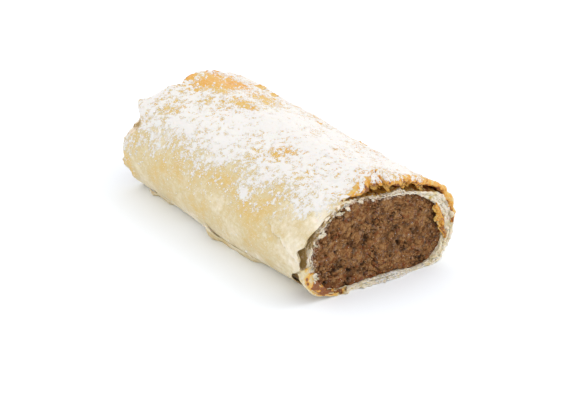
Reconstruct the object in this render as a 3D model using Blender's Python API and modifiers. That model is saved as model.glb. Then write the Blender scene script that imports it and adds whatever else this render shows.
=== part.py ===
"""Nut strudel: a cut length of thin dough rolled round a ground-nut filling.

Metres, +Z up.  The roll lies on its flat base along X, with the shown cut face looking along +X
and the long front side along -Y.  A place in the roll is its x, an angle about the roll's axis in
degrees (0 at the front, 90 at the crown, 180 at the back, 270 at the base) and a radius.
"""

import math

import bmesh
import bpy
from mathutils import Vector, noise

# Ends of the roll, and its axis: off the middle of the base, and over the surface it lies on.
NEAR_FACE = 0.0542
FAR_FACE = -0.0533
AXIS_OFFSET = 0.0006
AXIS_HEIGHT = 0.0150

# Radius of the baked roll every 30 degrees, from the front over the crown and on under the base,
# at its near face, its middle and its far face.
NEAR_RADII = (
    0.0315, 0.0262, 0.0219, 0.0222, 0.0218, 0.0260,
    0.0303, 0.0278, 0.0185, 0.0160, 0.0185, 0.0273,
)
MIDDLE_RADII = (
    0.0315, 0.0268, 0.0222, 0.0222, 0.0220, 0.0262,
    0.0303, 0.0282, 0.0190, 0.0160, 0.0200, 0.0293,
)
FAR_RADII = (
    0.0308, 0.0272, 0.0225, 0.0213, 0.0220, 0.0265,
    0.0300, 0.0275, 0.0185, 0.0160, 0.0185, 0.0278,
)
# Radius of the filling, every 30 degrees in the same order.
FILLING_RADII = (
    0.0275, 0.0233, 0.0184, 0.0150, 0.0160, 0.0208,
    0.0260, 0.0248, 0.0156, 0.0134, 0.0153, 0.0242,
)
FILLING_GAP = 0.0003
FILLING_RECESS = 0.0009
CRUMB_SIZE = 0.0042
CRUMB_HEIGHT = 0.0008
FILLING_CELLS = (5, 24, 16)
# Share of the filling's radius where its cut face starts to round off.
FILLING_ROUND_START = 0.83

# Soft unevenness of the baked dough.
SWELL_LENGTH = 0.0200
SWELL_HEIGHT = 0.0006
WRINKLE_LENGTH = 0.0065
WRINKLE_HEIGHT = 0.0002

# The outermost sheet of dough, from under the front edge over the crown to a free edge at the back.
CRUST_THICKNESS = 0.0008
CRUST_STAND = 0.0004
CRUST_FRONT_ANGLE = -34.0
CRUST_BACK_ANGLE = 169.0
CRUST_COLUMNS = 34
CRUST_ROWS = 46
RAGGED = 0.0005

# Tears in the sheet's two ends: angle, half width in degrees, and how far the edge stands out.
NEAR_TEARS = (
    (-27.0, 14.0, -0.0052),
    (-13.5, 11.0, -0.0062),
    (0.0, 5.0, -0.0009),
    (6.5, 5.0, -0.0026),
    (78.0, 3.0, -0.0010),
    (91.0, 3.0, -0.0016),
    (104.0, 30.0, 0.0019),
    (121.0, 3.0, -0.0012),
    (160.0, 6.0, -0.0010),
)
FAR_TEARS = (
    (-12.0, 9.0, -0.0054),
    (20.0, 8.0, -0.0016),
    (39.0, 12.0, 0.0037),
    (66.0, 9.0, -0.0028),
    (96.0, 24.0, 0.0008),
    (118.0, 4.0, -0.0018),
    (146.0, 7.0, -0.0024),
)
# How the inner sheets stand out under the foot of the near end: angle, half width, reach.
FOOT_SPIKES = (
    (-47.0, 5.0, 0.0010),
    (-63.0, 4.0, 0.0005),
    (-98.0, 66.0, 0.0016),
)

# Air pockets that open at the cut faces: angle, half width, depth below the roll, length inwards.
NEAR_POCKETS = (
    (92.0, 42.0, 0.0062, 0.0240),
    (128.0, 34.0, 0.0042, 0.0180),
    (6.0, 25.0, 0.0032, 0.0130),
    (-17.0, 19.0, 0.0028, 0.0110),
)
FAR_POCKETS = (
    (97.0, 36.0, 0.0034, 0.0120),
    (30.0, 22.0, 0.0024, 0.0090),
    (-12.0, 14.0, 0.0020, 0.0080),
)
LEAST_WALL = 0.0007

# The crust's own shape: puffed and curled in over the crown, swollen at the near back shoulder,
# standing off along its back edge and flared at the torn front corner.
CROWN_ANGLE = 98.0
CROWN_HALF_WIDTH = 52.0
NEAR_PUFF_HEIGHT = 0.0008
NEAR_PUFF_LENGTH = 0.0160
FAR_PUFF_HEIGHT = 0.0004
FAR_PUFF_LENGTH = 0.0100
CURL_DEPTH = 0.0014
CURL_LENGTH = 0.0030
SHOULDER_ANGLE = 156.0
SHOULDER_HALF_WIDTH = 24.0
SHOULDER_HEIGHT = 0.0013
SHOULDER_LENGTH = 0.0220
BACK_EDGE_LIFT = 0.0006
BACK_EDGE_WIDTH = 14.0
FLARE_ANGLE = -20.0
FLARE_WIDTH = 8.0
FLARE_HEIGHT = 0.0011
FLARE_LENGTH = 0.0150

# The rolled tube of inner sheets.
TUBE_STEPS = 52
TUBE_COLUMNS = 22
TUBE_INNER_COLUMNS = 6
TUBE_RAGGED = 0.0004
# Rings across the tube's wall at its two ends: share of the wall from inside, and how deep it is set.
END_LAYERS = ((0.74, 0.0), (0.50, 0.0009), (0.26, 0.0))

# The inner sheet laid bare by the torn corner: where its lower and rolled upper edges run.
STRIP_LOW_ANGLE = -43.0
STRIP_HIGH_ANGLE = -8.0
STRIP_LENGTH = 0.0100
STRIP_ROLL = 0.0009
STRIP_THICKNESS = 0.0010

# The browned end of an inner sheet, turned out over the back edge of the near cut face.
FLAKE_LOW_ANGLE = 158.0
FLAKE_HIGH_ANGLE = 199.0
FLAKE_WIDTH = 0.0046
FLAKE_ROOT = 0.0009
FLAKE_REACH = 0.0011
FLAKE_THICKNESS = 0.0006

# The last fold of dough, a tongue lying over the crust at the front of the near end.
TONGUE_START = 0.0290
TONGUE_LOW_ANGLE = 13.5
TONGUE_HIGH_ANGLE = 31.0
TONGUE_THICKNESS = 0.0007
TONGUE_STAND = 0.0006

# Loose dough along the foot of the front: start and end in x, reach from the axis, height at the start.
FOOT_LIPS = (
    (-0.0085, 0.0220, 0.0302, 0.0044),
    (-0.0445, -0.0310, 0.0272, 0.0014),
)
LIP_THICKNESS = 0.0006
LIP_ROOT = 0.0185
LIP_CLEARANCE = 0.0001
LIP_SKEW = 0.0020

# Shreds of browned dough hanging in the mouth of the near pocket: angle, half width, drop, lean.
SHREDS = (
    (76.0, 4.5, 0.0012, 3.0),
    (87.0, 6.5, 0.0027, 5.0),
    (99.0, 6.0, 0.0033, -4.0),
    (111.0, 6.0, 0.0018, 5.0),
)
SHRED_THICKNESS = 0.0005
SHRED_SET_BACK = 0.0009

# Flakes that stand up along the back shoulder: x, angle, length and height.
BACK_FLAKES = (
    (-0.0350, 133.0, 0.0120, 0.0011),
    (-0.0245, 137.0, 0.0080, 0.0009),
    (0.0140, 150.0, 0.0130, 0.0010),
)
BACK_FLAKE_WIDTH = 9.0
BACK_FLAKE_THICKNESS = 0.0005
BURIED = 0.0002

SHARP_ANGLE = 40.0
PASTRY_COLOUR = (0.72, 0.55, 0.31, 1.0)
FILLING_COLOUR = (0.135, 0.075, 0.040, 1.0)


def smooth(value):
    """Ease from 0 to 1 with flat ends."""
    held = min(max(value, 0.0), 1.0)
    return held * held * (3.0 - 2.0 * held)


def bump(offset, half_width):
    """A rounded hump, 1 in its middle and 0 from its half width outwards."""
    return smooth(1.0 - abs(offset) / half_width)


def ring(radii, angle):
    """Radius at an angle, on a smooth closed curve through evenly spaced radii."""
    count = len(radii)
    place = (angle % 360.0) / 360.0 * count
    start = int(place) % count
    part = place - int(place)
    before, here, after, beyond = (radii[(start + step) % count] for step in (-1, 0, 1, 2))
    straight = after - before
    bend = 2.0 * before - 5.0 * here + 4.0 * after - beyond
    twist = 3.0 * here - before - 3.0 * after + beyond
    return here + 0.5 * part * (straight + part * (bend + part * twist))


def on_roll(x, angle, radius):
    """A place in the roll, held at or above the surface it lies on."""
    turn = math.radians(angle)
    y = AXIS_OFFSET - radius * math.cos(turn)
    return Vector((x, y, max(0.0, AXIS_HEIGHT + radius * math.sin(turn))))


def above_floor(radius, angle):
    """A radius cut back to the surface the roll lies on."""
    drop = -math.sin(math.radians(angle))
    if drop * radius > AXIS_HEIGHT:
        return AXIS_HEIGHT / drop
    return radius


def wave(x, angle, length, seed):
    """Noise from -1 to 1 that varies over a length and closes round the roll."""
    turn = math.radians(angle)
    reach = AXIS_HEIGHT * 1.6 / length
    return noise.noise(Vector((x / length + seed, reach * math.cos(turn), reach * math.sin(turn))))


def roll_radius(x, angle):
    """Radius of the baked roll's outside."""
    along = (x - FAR_FACE) / (NEAR_FACE - FAR_FACE)
    middle = ring(MIDDLE_RADII, angle)
    if along > 0.5:
        radius = middle + (ring(NEAR_RADII, angle) - middle) * smooth(2.0 * along - 1.0)
    else:
        radius = middle + (ring(FAR_RADII, angle) - middle) * smooth(1.0 - 2.0 * along)
    swell = SWELL_HEIGHT * wave(x, angle, SWELL_LENGTH, 3.0)
    wrinkle = WRINKLE_HEIGHT * wave(x * 0.5, angle, WRINKLE_LENGTH, 11.0)
    return radius + swell + wrinkle


def cover(angle):
    """1 where the crust lies over the inner sheets, 0 round the base and the lower back."""
    front = smooth((angle - CRUST_FRONT_ANGLE + 6.0) / 8.0)
    back = smooth((CRUST_BACK_ANGLE + 6.0 - angle) / 8.0)
    return front * back


def near_end(x, length):
    """1 at the near face, easing to 0 a length inwards."""
    return smooth((x - NEAR_FACE) / length + 1.0)


def far_end(x, length):
    """1 at the far face, easing to 0 a length inwards."""
    return smooth((FAR_FACE - x) / length + 1.0)


def pocket_depth(x, angle):
    """How far the air pockets press the inner sheets below the outside of the roll."""
    depths = [0.0]
    for pockets, fade in ((NEAR_POCKETS, near_end), (FAR_POCKETS, far_end)):
        for middle, half_width, deep, length in pockets:
            depths.append(deep * bump(angle - middle, half_width) ** 0.6 * fade(x, length))
    return max(depths)


def crust_radius(x, angle):
    """Radius of the crust's outside."""
    crown = bump(angle - CROWN_ANGLE, CROWN_HALF_WIDTH)
    puff = NEAR_PUFF_HEIGHT * near_end(x, NEAR_PUFF_LENGTH) + FAR_PUFF_HEIGHT * far_end(x, FAR_PUFF_LENGTH)
    curl = CURL_DEPTH * smooth((x - NEAR_FACE) / CURL_LENGTH + 0.5)
    shoulder = SHOULDER_HEIGHT * bump(angle - SHOULDER_ANGLE, SHOULDER_HALF_WIDTH)
    shoulder *= near_end(x, SHOULDER_LENGTH)
    lift = BACK_EDGE_LIFT * smooth((angle - CRUST_BACK_ANGLE) / BACK_EDGE_WIDTH + 1.0)
    flare = FLARE_HEIGHT * smooth((FLARE_ANGLE - angle) / FLARE_WIDTH + 1.0) * near_end(x, FLARE_LENGTH)
    return roll_radius(x, angle) + crown * (puff - curl) + shoulder + lift + flare


def tear(tears, angle):
    """How far a torn end of the crust stands out past the cut face at an angle."""
    return sum(reach * bump(angle - middle, half_width) for middle, half_width, reach in tears)


def crust_near_edge(angle):
    """x of the crust's torn edge at the near end."""
    return NEAR_FACE - 0.0004 + tear(NEAR_TEARS, angle) + RAGGED * wave(0.0, angle, 0.0022, 21.0)


def crust_far_edge(angle):
    """x of the crust's torn edge at the far end."""
    return FAR_FACE + 0.0004 - tear(FAR_TEARS, angle) - RAGGED * wave(0.0, angle, 0.0022, 35.0)


def spread(u):
    """Even steps made closer towards both ends."""
    return 0.35 * u + 0.65 * smooth(u)


def mesh_object(name):
    """Name the primitive just added and return it."""
    piece = bpy.context.object
    piece.name = name
    piece.data.name = name
    return piece


def apply_modifier(piece, modifier):
    """Apply one modifier to a piece."""
    bpy.context.view_layer.objects.active = piece
    bpy.ops.object.modifier_apply(modifier=modifier.name)


def sheet(name, columns, rows, thickness, place):
    """A thin sheet of dough: a grid bent by place(u, v) and thickened inwards."""
    bpy.ops.mesh.primitive_grid_add(x_subdivisions=columns, y_subdivisions=rows, size=1.0)
    piece = mesh_object(name)
    for vertex in piece.data.vertices:
        vertex.co = place(vertex.co.x + 0.5, vertex.co.y + 0.5)
    solid = piece.modifiers.new("thickness", "SOLIDIFY")
    solid.thickness = thickness
    solid.offset = -1.0
    apply_modifier(piece, solid)
    return piece


def wall_loop():
    """The loop round the tube's wall: share of the length, share of the wall and how deep it is set."""
    outside = [(spread(step / (TUBE_COLUMNS - 1)), 1.0, 0.0) for step in range(TUBE_COLUMNS)]
    inside = [(spread(step / (TUBE_INNER_COLUMNS - 1)), 0.0, 0.0) for step in range(TUBE_INNER_COLUMNS)]
    near_end = [(1.0, layer, depth) for layer, depth in END_LAYERS]
    far_end = [(0.0, layer, depth) for layer, depth in END_LAYERS]
    return outside + near_end + inside[::-1] + far_end[::-1]


def inner_sheets():
    """The tube of inner sheets: a torus whose minor loop is drawn out along the roll's wall."""
    wall = wall_loop()
    bpy.ops.mesh.primitive_torus_add(major_segments=TUBE_STEPS, minor_segments=len(wall))
    piece = mesh_object("inner_sheets")
    for index, vertex in enumerate(piece.data.vertices):
        angle = 360.0 * (index // len(wall)) / TUBE_STEPS
        if angle > 180.0:
            angle -= 360.0
        along, layer, depth = wall[index % len(wall)]
        ragged = TUBE_RAGGED * (wave(layer, angle, 0.0025, 5.0) + layer - 0.5) - depth
        near = NEAR_FACE + ragged + tear(FOOT_SPIKES, angle) * layer
        far = FAR_FACE - ragged
        x = far + (near - far) * along
        inner = ring(FILLING_RADII, angle) + FILLING_GAP
        outer = roll_radius(x, angle) - CRUST_STAND * cover(angle) - pocket_depth(x, angle)
        outer = max(above_floor(outer, angle), inner + LEAST_WALL)
        vertex.co = on_roll(x, angle, inner + (outer - inner) * layer)
    piece.data.flip_normals()
    return piece


def crust():
    """The outermost sheet with torn ends."""
    def place(u, v):
        angle = CRUST_FRONT_ANGLE + (CRUST_BACK_ANGLE - CRUST_FRONT_ANGLE) * v
        far = crust_far_edge(angle)
        x = far + (crust_near_edge(angle) - far) * spread(u)
        angle += 3.0 * smooth(4.0 * v - 3.0) * wave(x, 180.0, 0.0060, 8.0)
        return on_roll(x, angle, crust_radius(x, angle))
    return sheet("crust", CRUST_COLUMNS, CRUST_ROWS, CRUST_THICKNESS, place)


def tongue():
    """The last fold of dough, whose lower edge slants down to the torn corner."""
    def place(u, v):
        lower = TONGUE_LOW_ANGLE * (1.0 - u) ** 0.8 + 0.6 * math.sin(14.0 * u)
        angle = lower + (TONGUE_HIGH_ANGLE - lower) * v
        x = TONGUE_START + (crust_near_edge(angle) + 0.0003 - TONGUE_START) * u
        stand = TONGUE_STAND * smooth(2.5 * u) * smooth(2.5 * (1.0 - v)) - 0.0001
        return on_roll(x, angle, crust_radius(x, angle) + stand)
    return sheet("tongue", 16, 9, TONGUE_THICKNESS, place)


def foot_lip(number, start, end, reach, height):
    """Loose dough that runs out along the foot of the front and turns up at its free edge."""
    def place(u, v):
        x = start + (end - start) * u
        fade = smooth(9.0 * u) * smooth(2.0 * (1.0 - u))
        ripple = 0.0005 * wave(x, 0.0, 0.0050, 14.0)
        reached = LIP_ROOT + (reach + ripple - LIP_ROOT) * (0.60 + 0.40 * fade)
        out = LIP_ROOT + (reached - LIP_ROOT) * (1.0 - (1.0 - v) ** 1.8)
        rise = LIP_THICKNESS + height * (1.0 - 0.55 * u) * (0.15 + 0.85 * fade) * smooth(1.8 * v - 0.8)
        return Vector((x - LIP_SKEW * (1.0 - u) * v, AXIS_OFFSET - out, rise + LIP_CLEARANCE))
    return sheet(f"foot_lip_{number}", 14, 8, LIP_THICKNESS, place)


def shred(number, middle, half_width, drop, lean):
    """A shred hanging from the curled edge of the crust in the mouth of the pocket."""
    def place(u, v):
        angle = middle + half_width * (2.0 * u - 1.0) * (1.0 - 0.70 * v * v) + lean * v
        x = crust_near_edge(angle) - SHRED_SET_BACK * (1.0 - v * math.cos(math.pi * (u - 0.5)))
        return on_roll(x, angle, crust_radius(x, middle) - BURIED - drop * v)
    return sheet(f"shred_{number}", 5, 3, SHRED_THICKNESS, place)


def inner_flake():
    """The browned end of an inner sheet, turned out over the edge of the filling at the back."""
    def place(u, v):
        angle = FLAKE_LOW_ANGLE + (FLAKE_HIGH_ANGLE - FLAKE_LOW_ANGLE) * u
        width = FLAKE_WIDTH * (math.sin(math.pi * (0.12 + 0.80 * u)) + 0.11 * math.sin(19.0 * u))
        crumple = 0.35 * FLAKE_REACH * v * math.sin(11.0 * u + 5.0 * v)
        x = NEAR_FACE + FLAKE_REACH * (2.0 * smooth(1.8 * v) - 1.0) + crumple
        return on_roll(x, angle, ring(FILLING_RADII, angle) + FLAKE_ROOT - width * v)
    return sheet("inner_flake", 12, 4, FLAKE_THICKNESS, place)


def corner_strip():
    """The inner sheet laid bare by the torn corner, its upper edge rolled outwards."""
    def place(u, v):
        angle = STRIP_LOW_ANGLE + (STRIP_HIGH_ANGLE - STRIP_LOW_ANGLE) * v
        x = NEAR_FACE + TUBE_RAGGED * (1.0 + math.sin(9.0 * v)) - STRIP_LENGTH * (1.0 - u)
        rolled = STRIP_ROLL * smooth(3.0 * v - 2.0) * smooth(3.0 * u)
        sunk = 3.0 * BURIED * smooth(1.0 - 2.0 * u)
        return on_roll(x, angle, roll_radius(x, angle) + rolled - sunk)
    return sheet("corner_strip", 6, 10, STRIP_THICKNESS, place)


def back_flake(number, middle, angle, length, height):
    """A flake of the crust standing up along the back shoulder, its free edge towards the crown."""
    def place(u, v):
        x = middle + length * (u - 0.5) * (1.0 - 0.45 * v)
        turn = angle + BACK_FLAKE_WIDTH * (1.0 - v) - 2.0 * v * math.sin(math.pi * u)
        return on_roll(x, turn, crust_radius(x, turn) - BURIED + height * v)
    return sheet(f"back_flake_{number}", 6, 3, BACK_FLAKE_THICKNESS, place)


def fuse(base, pieces):
    """Join the pieces to the base in one solid and remove them."""
    layers = bpy.data.collections.new("dough_layers")
    bpy.context.scene.collection.children.link(layers)
    for piece in pieces:
        for owner in list(piece.users_collection):
            owner.objects.unlink(piece)
        layers.objects.link(piece)
    union = base.modifiers.new("fused_layers", "BOOLEAN")
    union.operation = "UNION"
    union.operand_type = "COLLECTION"
    union.collection = layers
    union.solver = "EXACT"
    apply_modifier(base, union)
    for piece in pieces:
        bpy.data.objects.remove(piece)
    bpy.data.collections.remove(layers)


def shell_of(face):
    """All the faces joined to a face by shared edges."""
    shell = {face}
    waiting = [face]
    while waiting:
        for edge in waiting.pop().edges:
            fresh = [other for other in edge.link_faces if other not in shell]
            shell.update(fresh)
            waiting.extend(fresh)
    return shell


def keep_outer_shell(piece):
    """Fill the sealed hollows between layers and drop scraps, keeping the largest shell."""
    shape = bmesh.new()
    shape.from_mesh(piece.data)
    unseen = set(shape.faces)
    shells = []
    while unseen:
        shells.append(shell_of(next(iter(unseen))))
        unseen -= shells[-1]
    largest = max(shells, key=len)
    rest = [face for face in shape.faces if face not in largest]
    bmesh.ops.delete(shape, geom=rest, context="FACES")
    shape.to_mesh(piece.data)
    shape.free()


def strudel_pastry():
    """All the dough as one solid."""
    base = inner_sheets()
    pieces = [crust(), tongue(), inner_flake(), corner_strip()]
    pieces += [foot_lip(number, *lip) for number, lip in enumerate(FOOT_LIPS)]
    pieces += [shred(number, *piece) for number, piece in enumerate(SHREDS)]
    pieces += [back_flake(number, *piece) for number, piece in enumerate(BACK_FLAKES)]
    fuse(base, pieces)
    keep_outer_shell(base)
    base.name = "strudel_pastry"
    base.data.name = "strudel_pastry"
    return base


def is_along(edge, axis):
    """Whether an edge of the block runs along an axis."""
    return abs((edge.verts[1].co - edge.verts[0].co).normalized()[axis]) > 0.99


def crumbs(place):
    """Height of the crumbly cut face of the filling at a place on it, from -1 to 1."""
    cell = place / CRUMB_SIZE
    distances, _ = noise.voronoi(cell)
    return 0.9 - 1.6 * distances[0] + 0.5 * noise.noise(cell * 2.1)


def filling_place(end, across, up):
    """Where a point of the block, 1 to each side of its middle, lies in the rounded filling."""
    round_across = across * math.sqrt(1.0 - up * up / 2.0)
    round_up = up * math.sqrt(1.0 - across * across / 2.0)
    angle = math.degrees(math.atan2(round_up, -round_across))
    part = min(math.hypot(round_across, round_up), 1.0)
    far = FAR_FACE + FILLING_RECESS
    near = NEAR_FACE - FILLING_RECESS
    x = far + (near - far) * spread((end + 1.0) / 2.0)
    place = on_roll(x, angle, part * ring(FILLING_RADII, angle))
    if abs(end) > 0.999:
        rim = smooth((part - FILLING_ROUND_START) / (1.0 - FILLING_ROUND_START))
        place.x += end * (CRUMB_HEIGHT * crumbs(place) * (1.0 - 0.6 * rim) - FILLING_RECESS * rim)
    return place


def nut_filling():
    """The filling: a cut-up block rounded to the section, crumbly at both cut faces."""
    block = bmesh.new()
    bmesh.ops.create_cube(block, size=2.0)
    for axis, cells in enumerate(FILLING_CELLS):
        edges = [edge for edge in block.edges if is_along(edge, axis)]
        bmesh.ops.subdivide_edges(block, edges=edges, cuts=cells - 1, use_grid_fill=True)
    for vertex in block.verts:
        vertex.co = filling_place(*vertex.co)
    mesh = bpy.data.meshes.new("nut_filling")
    block.to_mesh(mesh)
    block.free()
    piece = bpy.data.objects.new("nut_filling", mesh)
    bpy.context.scene.collection.objects.link(piece)
    return piece


def material(name, colour, roughness):
    """A plain Principled material."""
    made = bpy.data.materials.new(name)
    made.use_nodes = True
    shader = made.node_tree.nodes["Principled BSDF"]
    shader.inputs["Base Color"].default_value = colour
    shader.inputs["Roughness"].default_value = roughness
    shader.inputs["Metallic"].default_value = 0.0
    return made


def finish(piece, owner, made):
    """Shade a finished piece, give it its material and file it under the strudel."""
    piece.data.shade_smooth()
    piece.data.set_sharp_from_angle(angle=math.radians(SHARP_ANGLE))
    piece.data.materials.clear()
    piece.data.materials.append(made)
    for old in list(piece.users_collection):
        old.objects.unlink(piece)
    owner.objects.link(piece)


def main():
    for old in list(bpy.data.objects):
        bpy.data.objects.remove(old, do_unlink=True)
    owner = bpy.data.collections.new("nut_strudel")
    bpy.context.scene.collection.children.link(owner)
    finish(strudel_pastry(), owner, material("baked_strudel_dough", PASTRY_COLOUR, 0.62))
    finish(nut_filling(), owner, material("ground_nut_filling", FILLING_COLOUR, 0.70))


main()
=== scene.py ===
"""Nut strudel, dressed: thin baked dough torn and browned at its ends, a crumbly ground-nut filling
and a dusting of powdered sugar.

Metres, +Z up.  The roll lies on its base along X, with the shown cut face looking along +X and the
long front side along -Y.  A place in the roll is its x, an angle about the roll's axis in degrees
(0 at the front, 90 at the crown, 180 at the back, 270 at the base) and a radius.
"""

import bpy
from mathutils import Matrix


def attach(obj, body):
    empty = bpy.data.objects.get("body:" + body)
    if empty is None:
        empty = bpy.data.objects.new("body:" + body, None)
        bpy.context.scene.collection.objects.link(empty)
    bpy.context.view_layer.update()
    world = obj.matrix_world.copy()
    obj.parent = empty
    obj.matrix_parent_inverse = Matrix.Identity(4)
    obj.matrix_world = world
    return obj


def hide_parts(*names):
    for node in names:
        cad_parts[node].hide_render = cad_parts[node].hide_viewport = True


bl_info = {
    "name": "Nut Strudel",
    "version": (1, 0, 0),
    "blender": (4, 5, 0),
    "location": "3D View > Sidebar > Strudel",
    "description": "Dresses a cut length of nut strudel with baked dough, filling and powdered sugar",
    "category": "Add Mesh",
}

import functools
import math
import random

import bmesh
import bpy
import numpy as np
from mathutils import Matrix, Vector, noise

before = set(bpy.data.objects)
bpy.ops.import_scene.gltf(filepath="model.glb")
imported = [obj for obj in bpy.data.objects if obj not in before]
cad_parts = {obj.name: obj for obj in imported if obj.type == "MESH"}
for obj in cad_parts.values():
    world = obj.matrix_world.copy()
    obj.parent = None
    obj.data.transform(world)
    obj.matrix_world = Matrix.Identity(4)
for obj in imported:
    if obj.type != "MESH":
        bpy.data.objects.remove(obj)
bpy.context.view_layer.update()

# Ends of the roll, and its axis: off the middle of the base, and over the surface it lies on.
NEAR_FACE = 0.0542
FAR_FACE = -0.0533
AXIS_OFFSET = 0.0006
AXIS_HEIGHT = 0.0150

# Radius of the baked roll every 30 degrees, from the front over the crown and on under the base,
# at its near face, its middle and its far face, and of the filling in the same order.
NEAR_RADII = (
    0.0315, 0.0262, 0.0219, 0.0222, 0.0218, 0.0260,
    0.0303, 0.0278, 0.0185, 0.0160, 0.0185, 0.0273,
)
MIDDLE_RADII = (
    0.0315, 0.0268, 0.0222, 0.0222, 0.0220, 0.0262,
    0.0303, 0.0282, 0.0190, 0.0160, 0.0200, 0.0293,
)
FAR_RADII = (
    0.0308, 0.0272, 0.0225, 0.0213, 0.0220, 0.0265,
    0.0300, 0.0275, 0.0185, 0.0160, 0.0185, 0.0278,
)
FILLING_RADII = (
    0.0275, 0.0233, 0.0184, 0.0150, 0.0160, 0.0208,
    0.0260, 0.0248, 0.0156, 0.0134, 0.0153, 0.0242,
)

# The filling: its gap to the sheets, how far it lies behind the cut faces, the share of its radius from where
# its rim rounds off and from where it is smeared outwards, how far it is smeared, and its cells along x, y, z.
FILLING_GAP = 0.0002
FILLING_RECESS = 0.0003
FILLING_ROUND_START = 0.955
FILLING_SMEAR_START = 0.86
FILLING_SMEAR = 0.0009
FILLING_CELLS = (3, 196, 128)
# Its crumbs: what their noise starts from, so that each run gives the same ones, how far apart cracks and
# holes come, and how wide a hole is.
CRUMB_SEED = 5
CRACK_SPREAD = 0.0060
HOLE_SPREAD = 0.0080
HOLE_WIDTH = 0.0036

# Swells and wrinkles of the whole roll, and the radius, in heights of its axis, at which noise is measured.
SWELL_LENGTH = 0.0200
SWELL_HEIGHT = 0.0006
WRINKLE_LENGTH = 0.0065
WRINKLE_HEIGHT = 0.0002
NOISE_RADIUS = 1.6

# The outermost sheet, from under the front edge over the crown to a free edge at the back: how far it
# stands off the inner sheets, where it starts and ends, how wide it fades there, and how far behind the
# cut faces and how unevenly it ends.
CRUST_STAND = 0.0004
CRUST_FRONT_ANGLE = -34.0
CRUST_BACK_ANGLE = 169.0
CRUST_MARGIN = 6.0
CRUST_FADE = 8.0
CRUST_SETBACK = 0.0004
RAGGED = 0.0005

# The least share of its thickness that a sheet keeps.
LEAST_THICKNESS = 0.02

# Tears in the crust's two ends: angle, half width in degrees, and how far the edge stands out.
NEAR_TEARS = (
    (-26.0, 16.0, -0.0098), (-13.5, 11.0, -0.0062), (0.0, 5.0, -0.0009), (6.5, 5.0, -0.0026),
    (78.0, 3.0, -0.0010), (91.0, 3.0, -0.0016), (104.0, 30.0, 0.0019), (121.0, 3.0, -0.0012),
    (160.0, 6.0, -0.0010),
)
FAR_TEARS = (
    (-13.0, 10.0, -0.0024), (19.5, 12.0, -0.0050), (34.5, 9.0, 0.0040), (46.0, 9.0, 0.0008),
    (66.0, 9.0, -0.0028), (96.0, 24.0, 0.0008), (118.0, 4.0, -0.0018), (146.0, 7.0, -0.0024),
)
# How the inner sheets stand out of the two ends, in the same order.
NEAR_SPIKES = (
    (-47.0, 5.0, 0.0010), (-63.0, 4.0, 0.0005), (-98.0, 66.0, 0.0016),
)
FAR_SPIKES = (
    (-12.0, 9.0, 0.0028), (-60.0, 20.0, 0.0008), (150.0, 26.0, 0.0006),
)

# Air pockets that open at the cut faces: angle, half width, depth below the roll, length inwards, and the
# least that is left between them and the filling.
NEAR_POCKETS = (
    (92.0, 42.0, 0.0062, 0.0240), (128.0, 34.0, 0.0042, 0.0180), (6.0, 25.0, 0.0032, 0.0130),
    (-21.0, 24.0, 0.0034, 0.0170),
)
FAR_POCKETS = (
    (97.0, 36.0, 0.0034, 0.0120), (30.0, 22.0, 0.0024, 0.0090), (-12.0, 14.0, 0.0006, 0.0080),
)
LEAST_WALL = 0.0007

# The crust puffs and curls in over the crown, swells at the near back shoulder, stands off along its back
# edge and flares at the torn front corner. A pair is a height and the length that it fades over.
CROWN_ANGLE = 98.0
CROWN_HALF_WIDTH = 52.0
NEAR_PUFF = (0.0008, 0.0160)
FAR_PUFF = (0.0004, 0.0100)
CURL = (0.0014, 0.0030)
SHOULDER_ANGLE = 156.0
SHOULDER_HALF_WIDTH = 24.0
SHOULDER = (0.0013, 0.0220)
SHOULDER_FALL = 20.0
BACK_EDGE_LIFT = 0.0006
BACK_EDGE_WIDTH = 14.0
BACK_EDGE_START = 0.0200
FLARE_ANGLE = -20.0
FLARE_WIDTH = 8.0
FLARE = (0.0011, 0.0150)

# How brown the crust is at its foot and how much more over the crown, the angles between which that is,
# and where the oven made it browner still or less: x, angle, half length, half angle and strength.
FOOT_BROWNING = 0.20
CROWN_BROWNING = 0.28
CROWN_BROWNED_ANGLES = (26.0, 178.0)
CROWN_BROWNED_FADE = 40.0
BROWNED_PATCHES = (
    (0.0540, 100.0, 0.0075, 62.0, 0.12), (0.0530, 160.0, 0.0110, 26.0, 0.16),
    (0.0530, 42.0, 0.0110, 22.0, -0.16), (-0.0430, 94.0, 0.0090, 20.0, 0.07),
    (-0.0545, 76.0, 0.0050, 12.0, 0.22), (-0.0540, 125.0, 0.0080, 30.0, 0.12),
    (0.0040, 14.0, 0.0170, 13.0, 0.07), (0.0230, 15.0, 0.0110, 9.0, 0.06),
    # The long patch at -28 degrees makes the whole foot paler: partly paler dough, partly painted light on the foot
    # that faces down.
    (-0.0520, -12.0, 0.0060, 12.0, 0.20), (0.0, -28.0, 0.0900, 14.0, -0.06),
    (0.0470, 16.0, 0.0100, 14.0, 0.07), (-0.0490, 22.0, 0.0070, 12.0, 0.06),
    (-0.0150, 150.0, 0.0200, 18.0, 0.12), (0.0240, 128.0, 0.0160, 16.0, 0.10),
)
# Places that shed the sugar, in the same order.
BARE_PATCHES = (
    (0.0565, 70.0, 0.0034, 24.0, 1.0), (0.0540, 158.0, 0.0080, 17.0, 1.5),
    (-0.0410, 98.0, 0.0105, 26.0, 0.80), (-0.0545, 78.0, 0.0050, 14.0, 0.85),
    (-0.0230, 112.0, 0.0100, 14.0, 0.42), (-0.0200, 86.0, 0.0090, 8.0, 0.40),
    (0.0160, 58.0, 0.0080, 13.0, 0.32), (-0.0440, 46.0, 0.0070, 14.0, 0.22),
)
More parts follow.
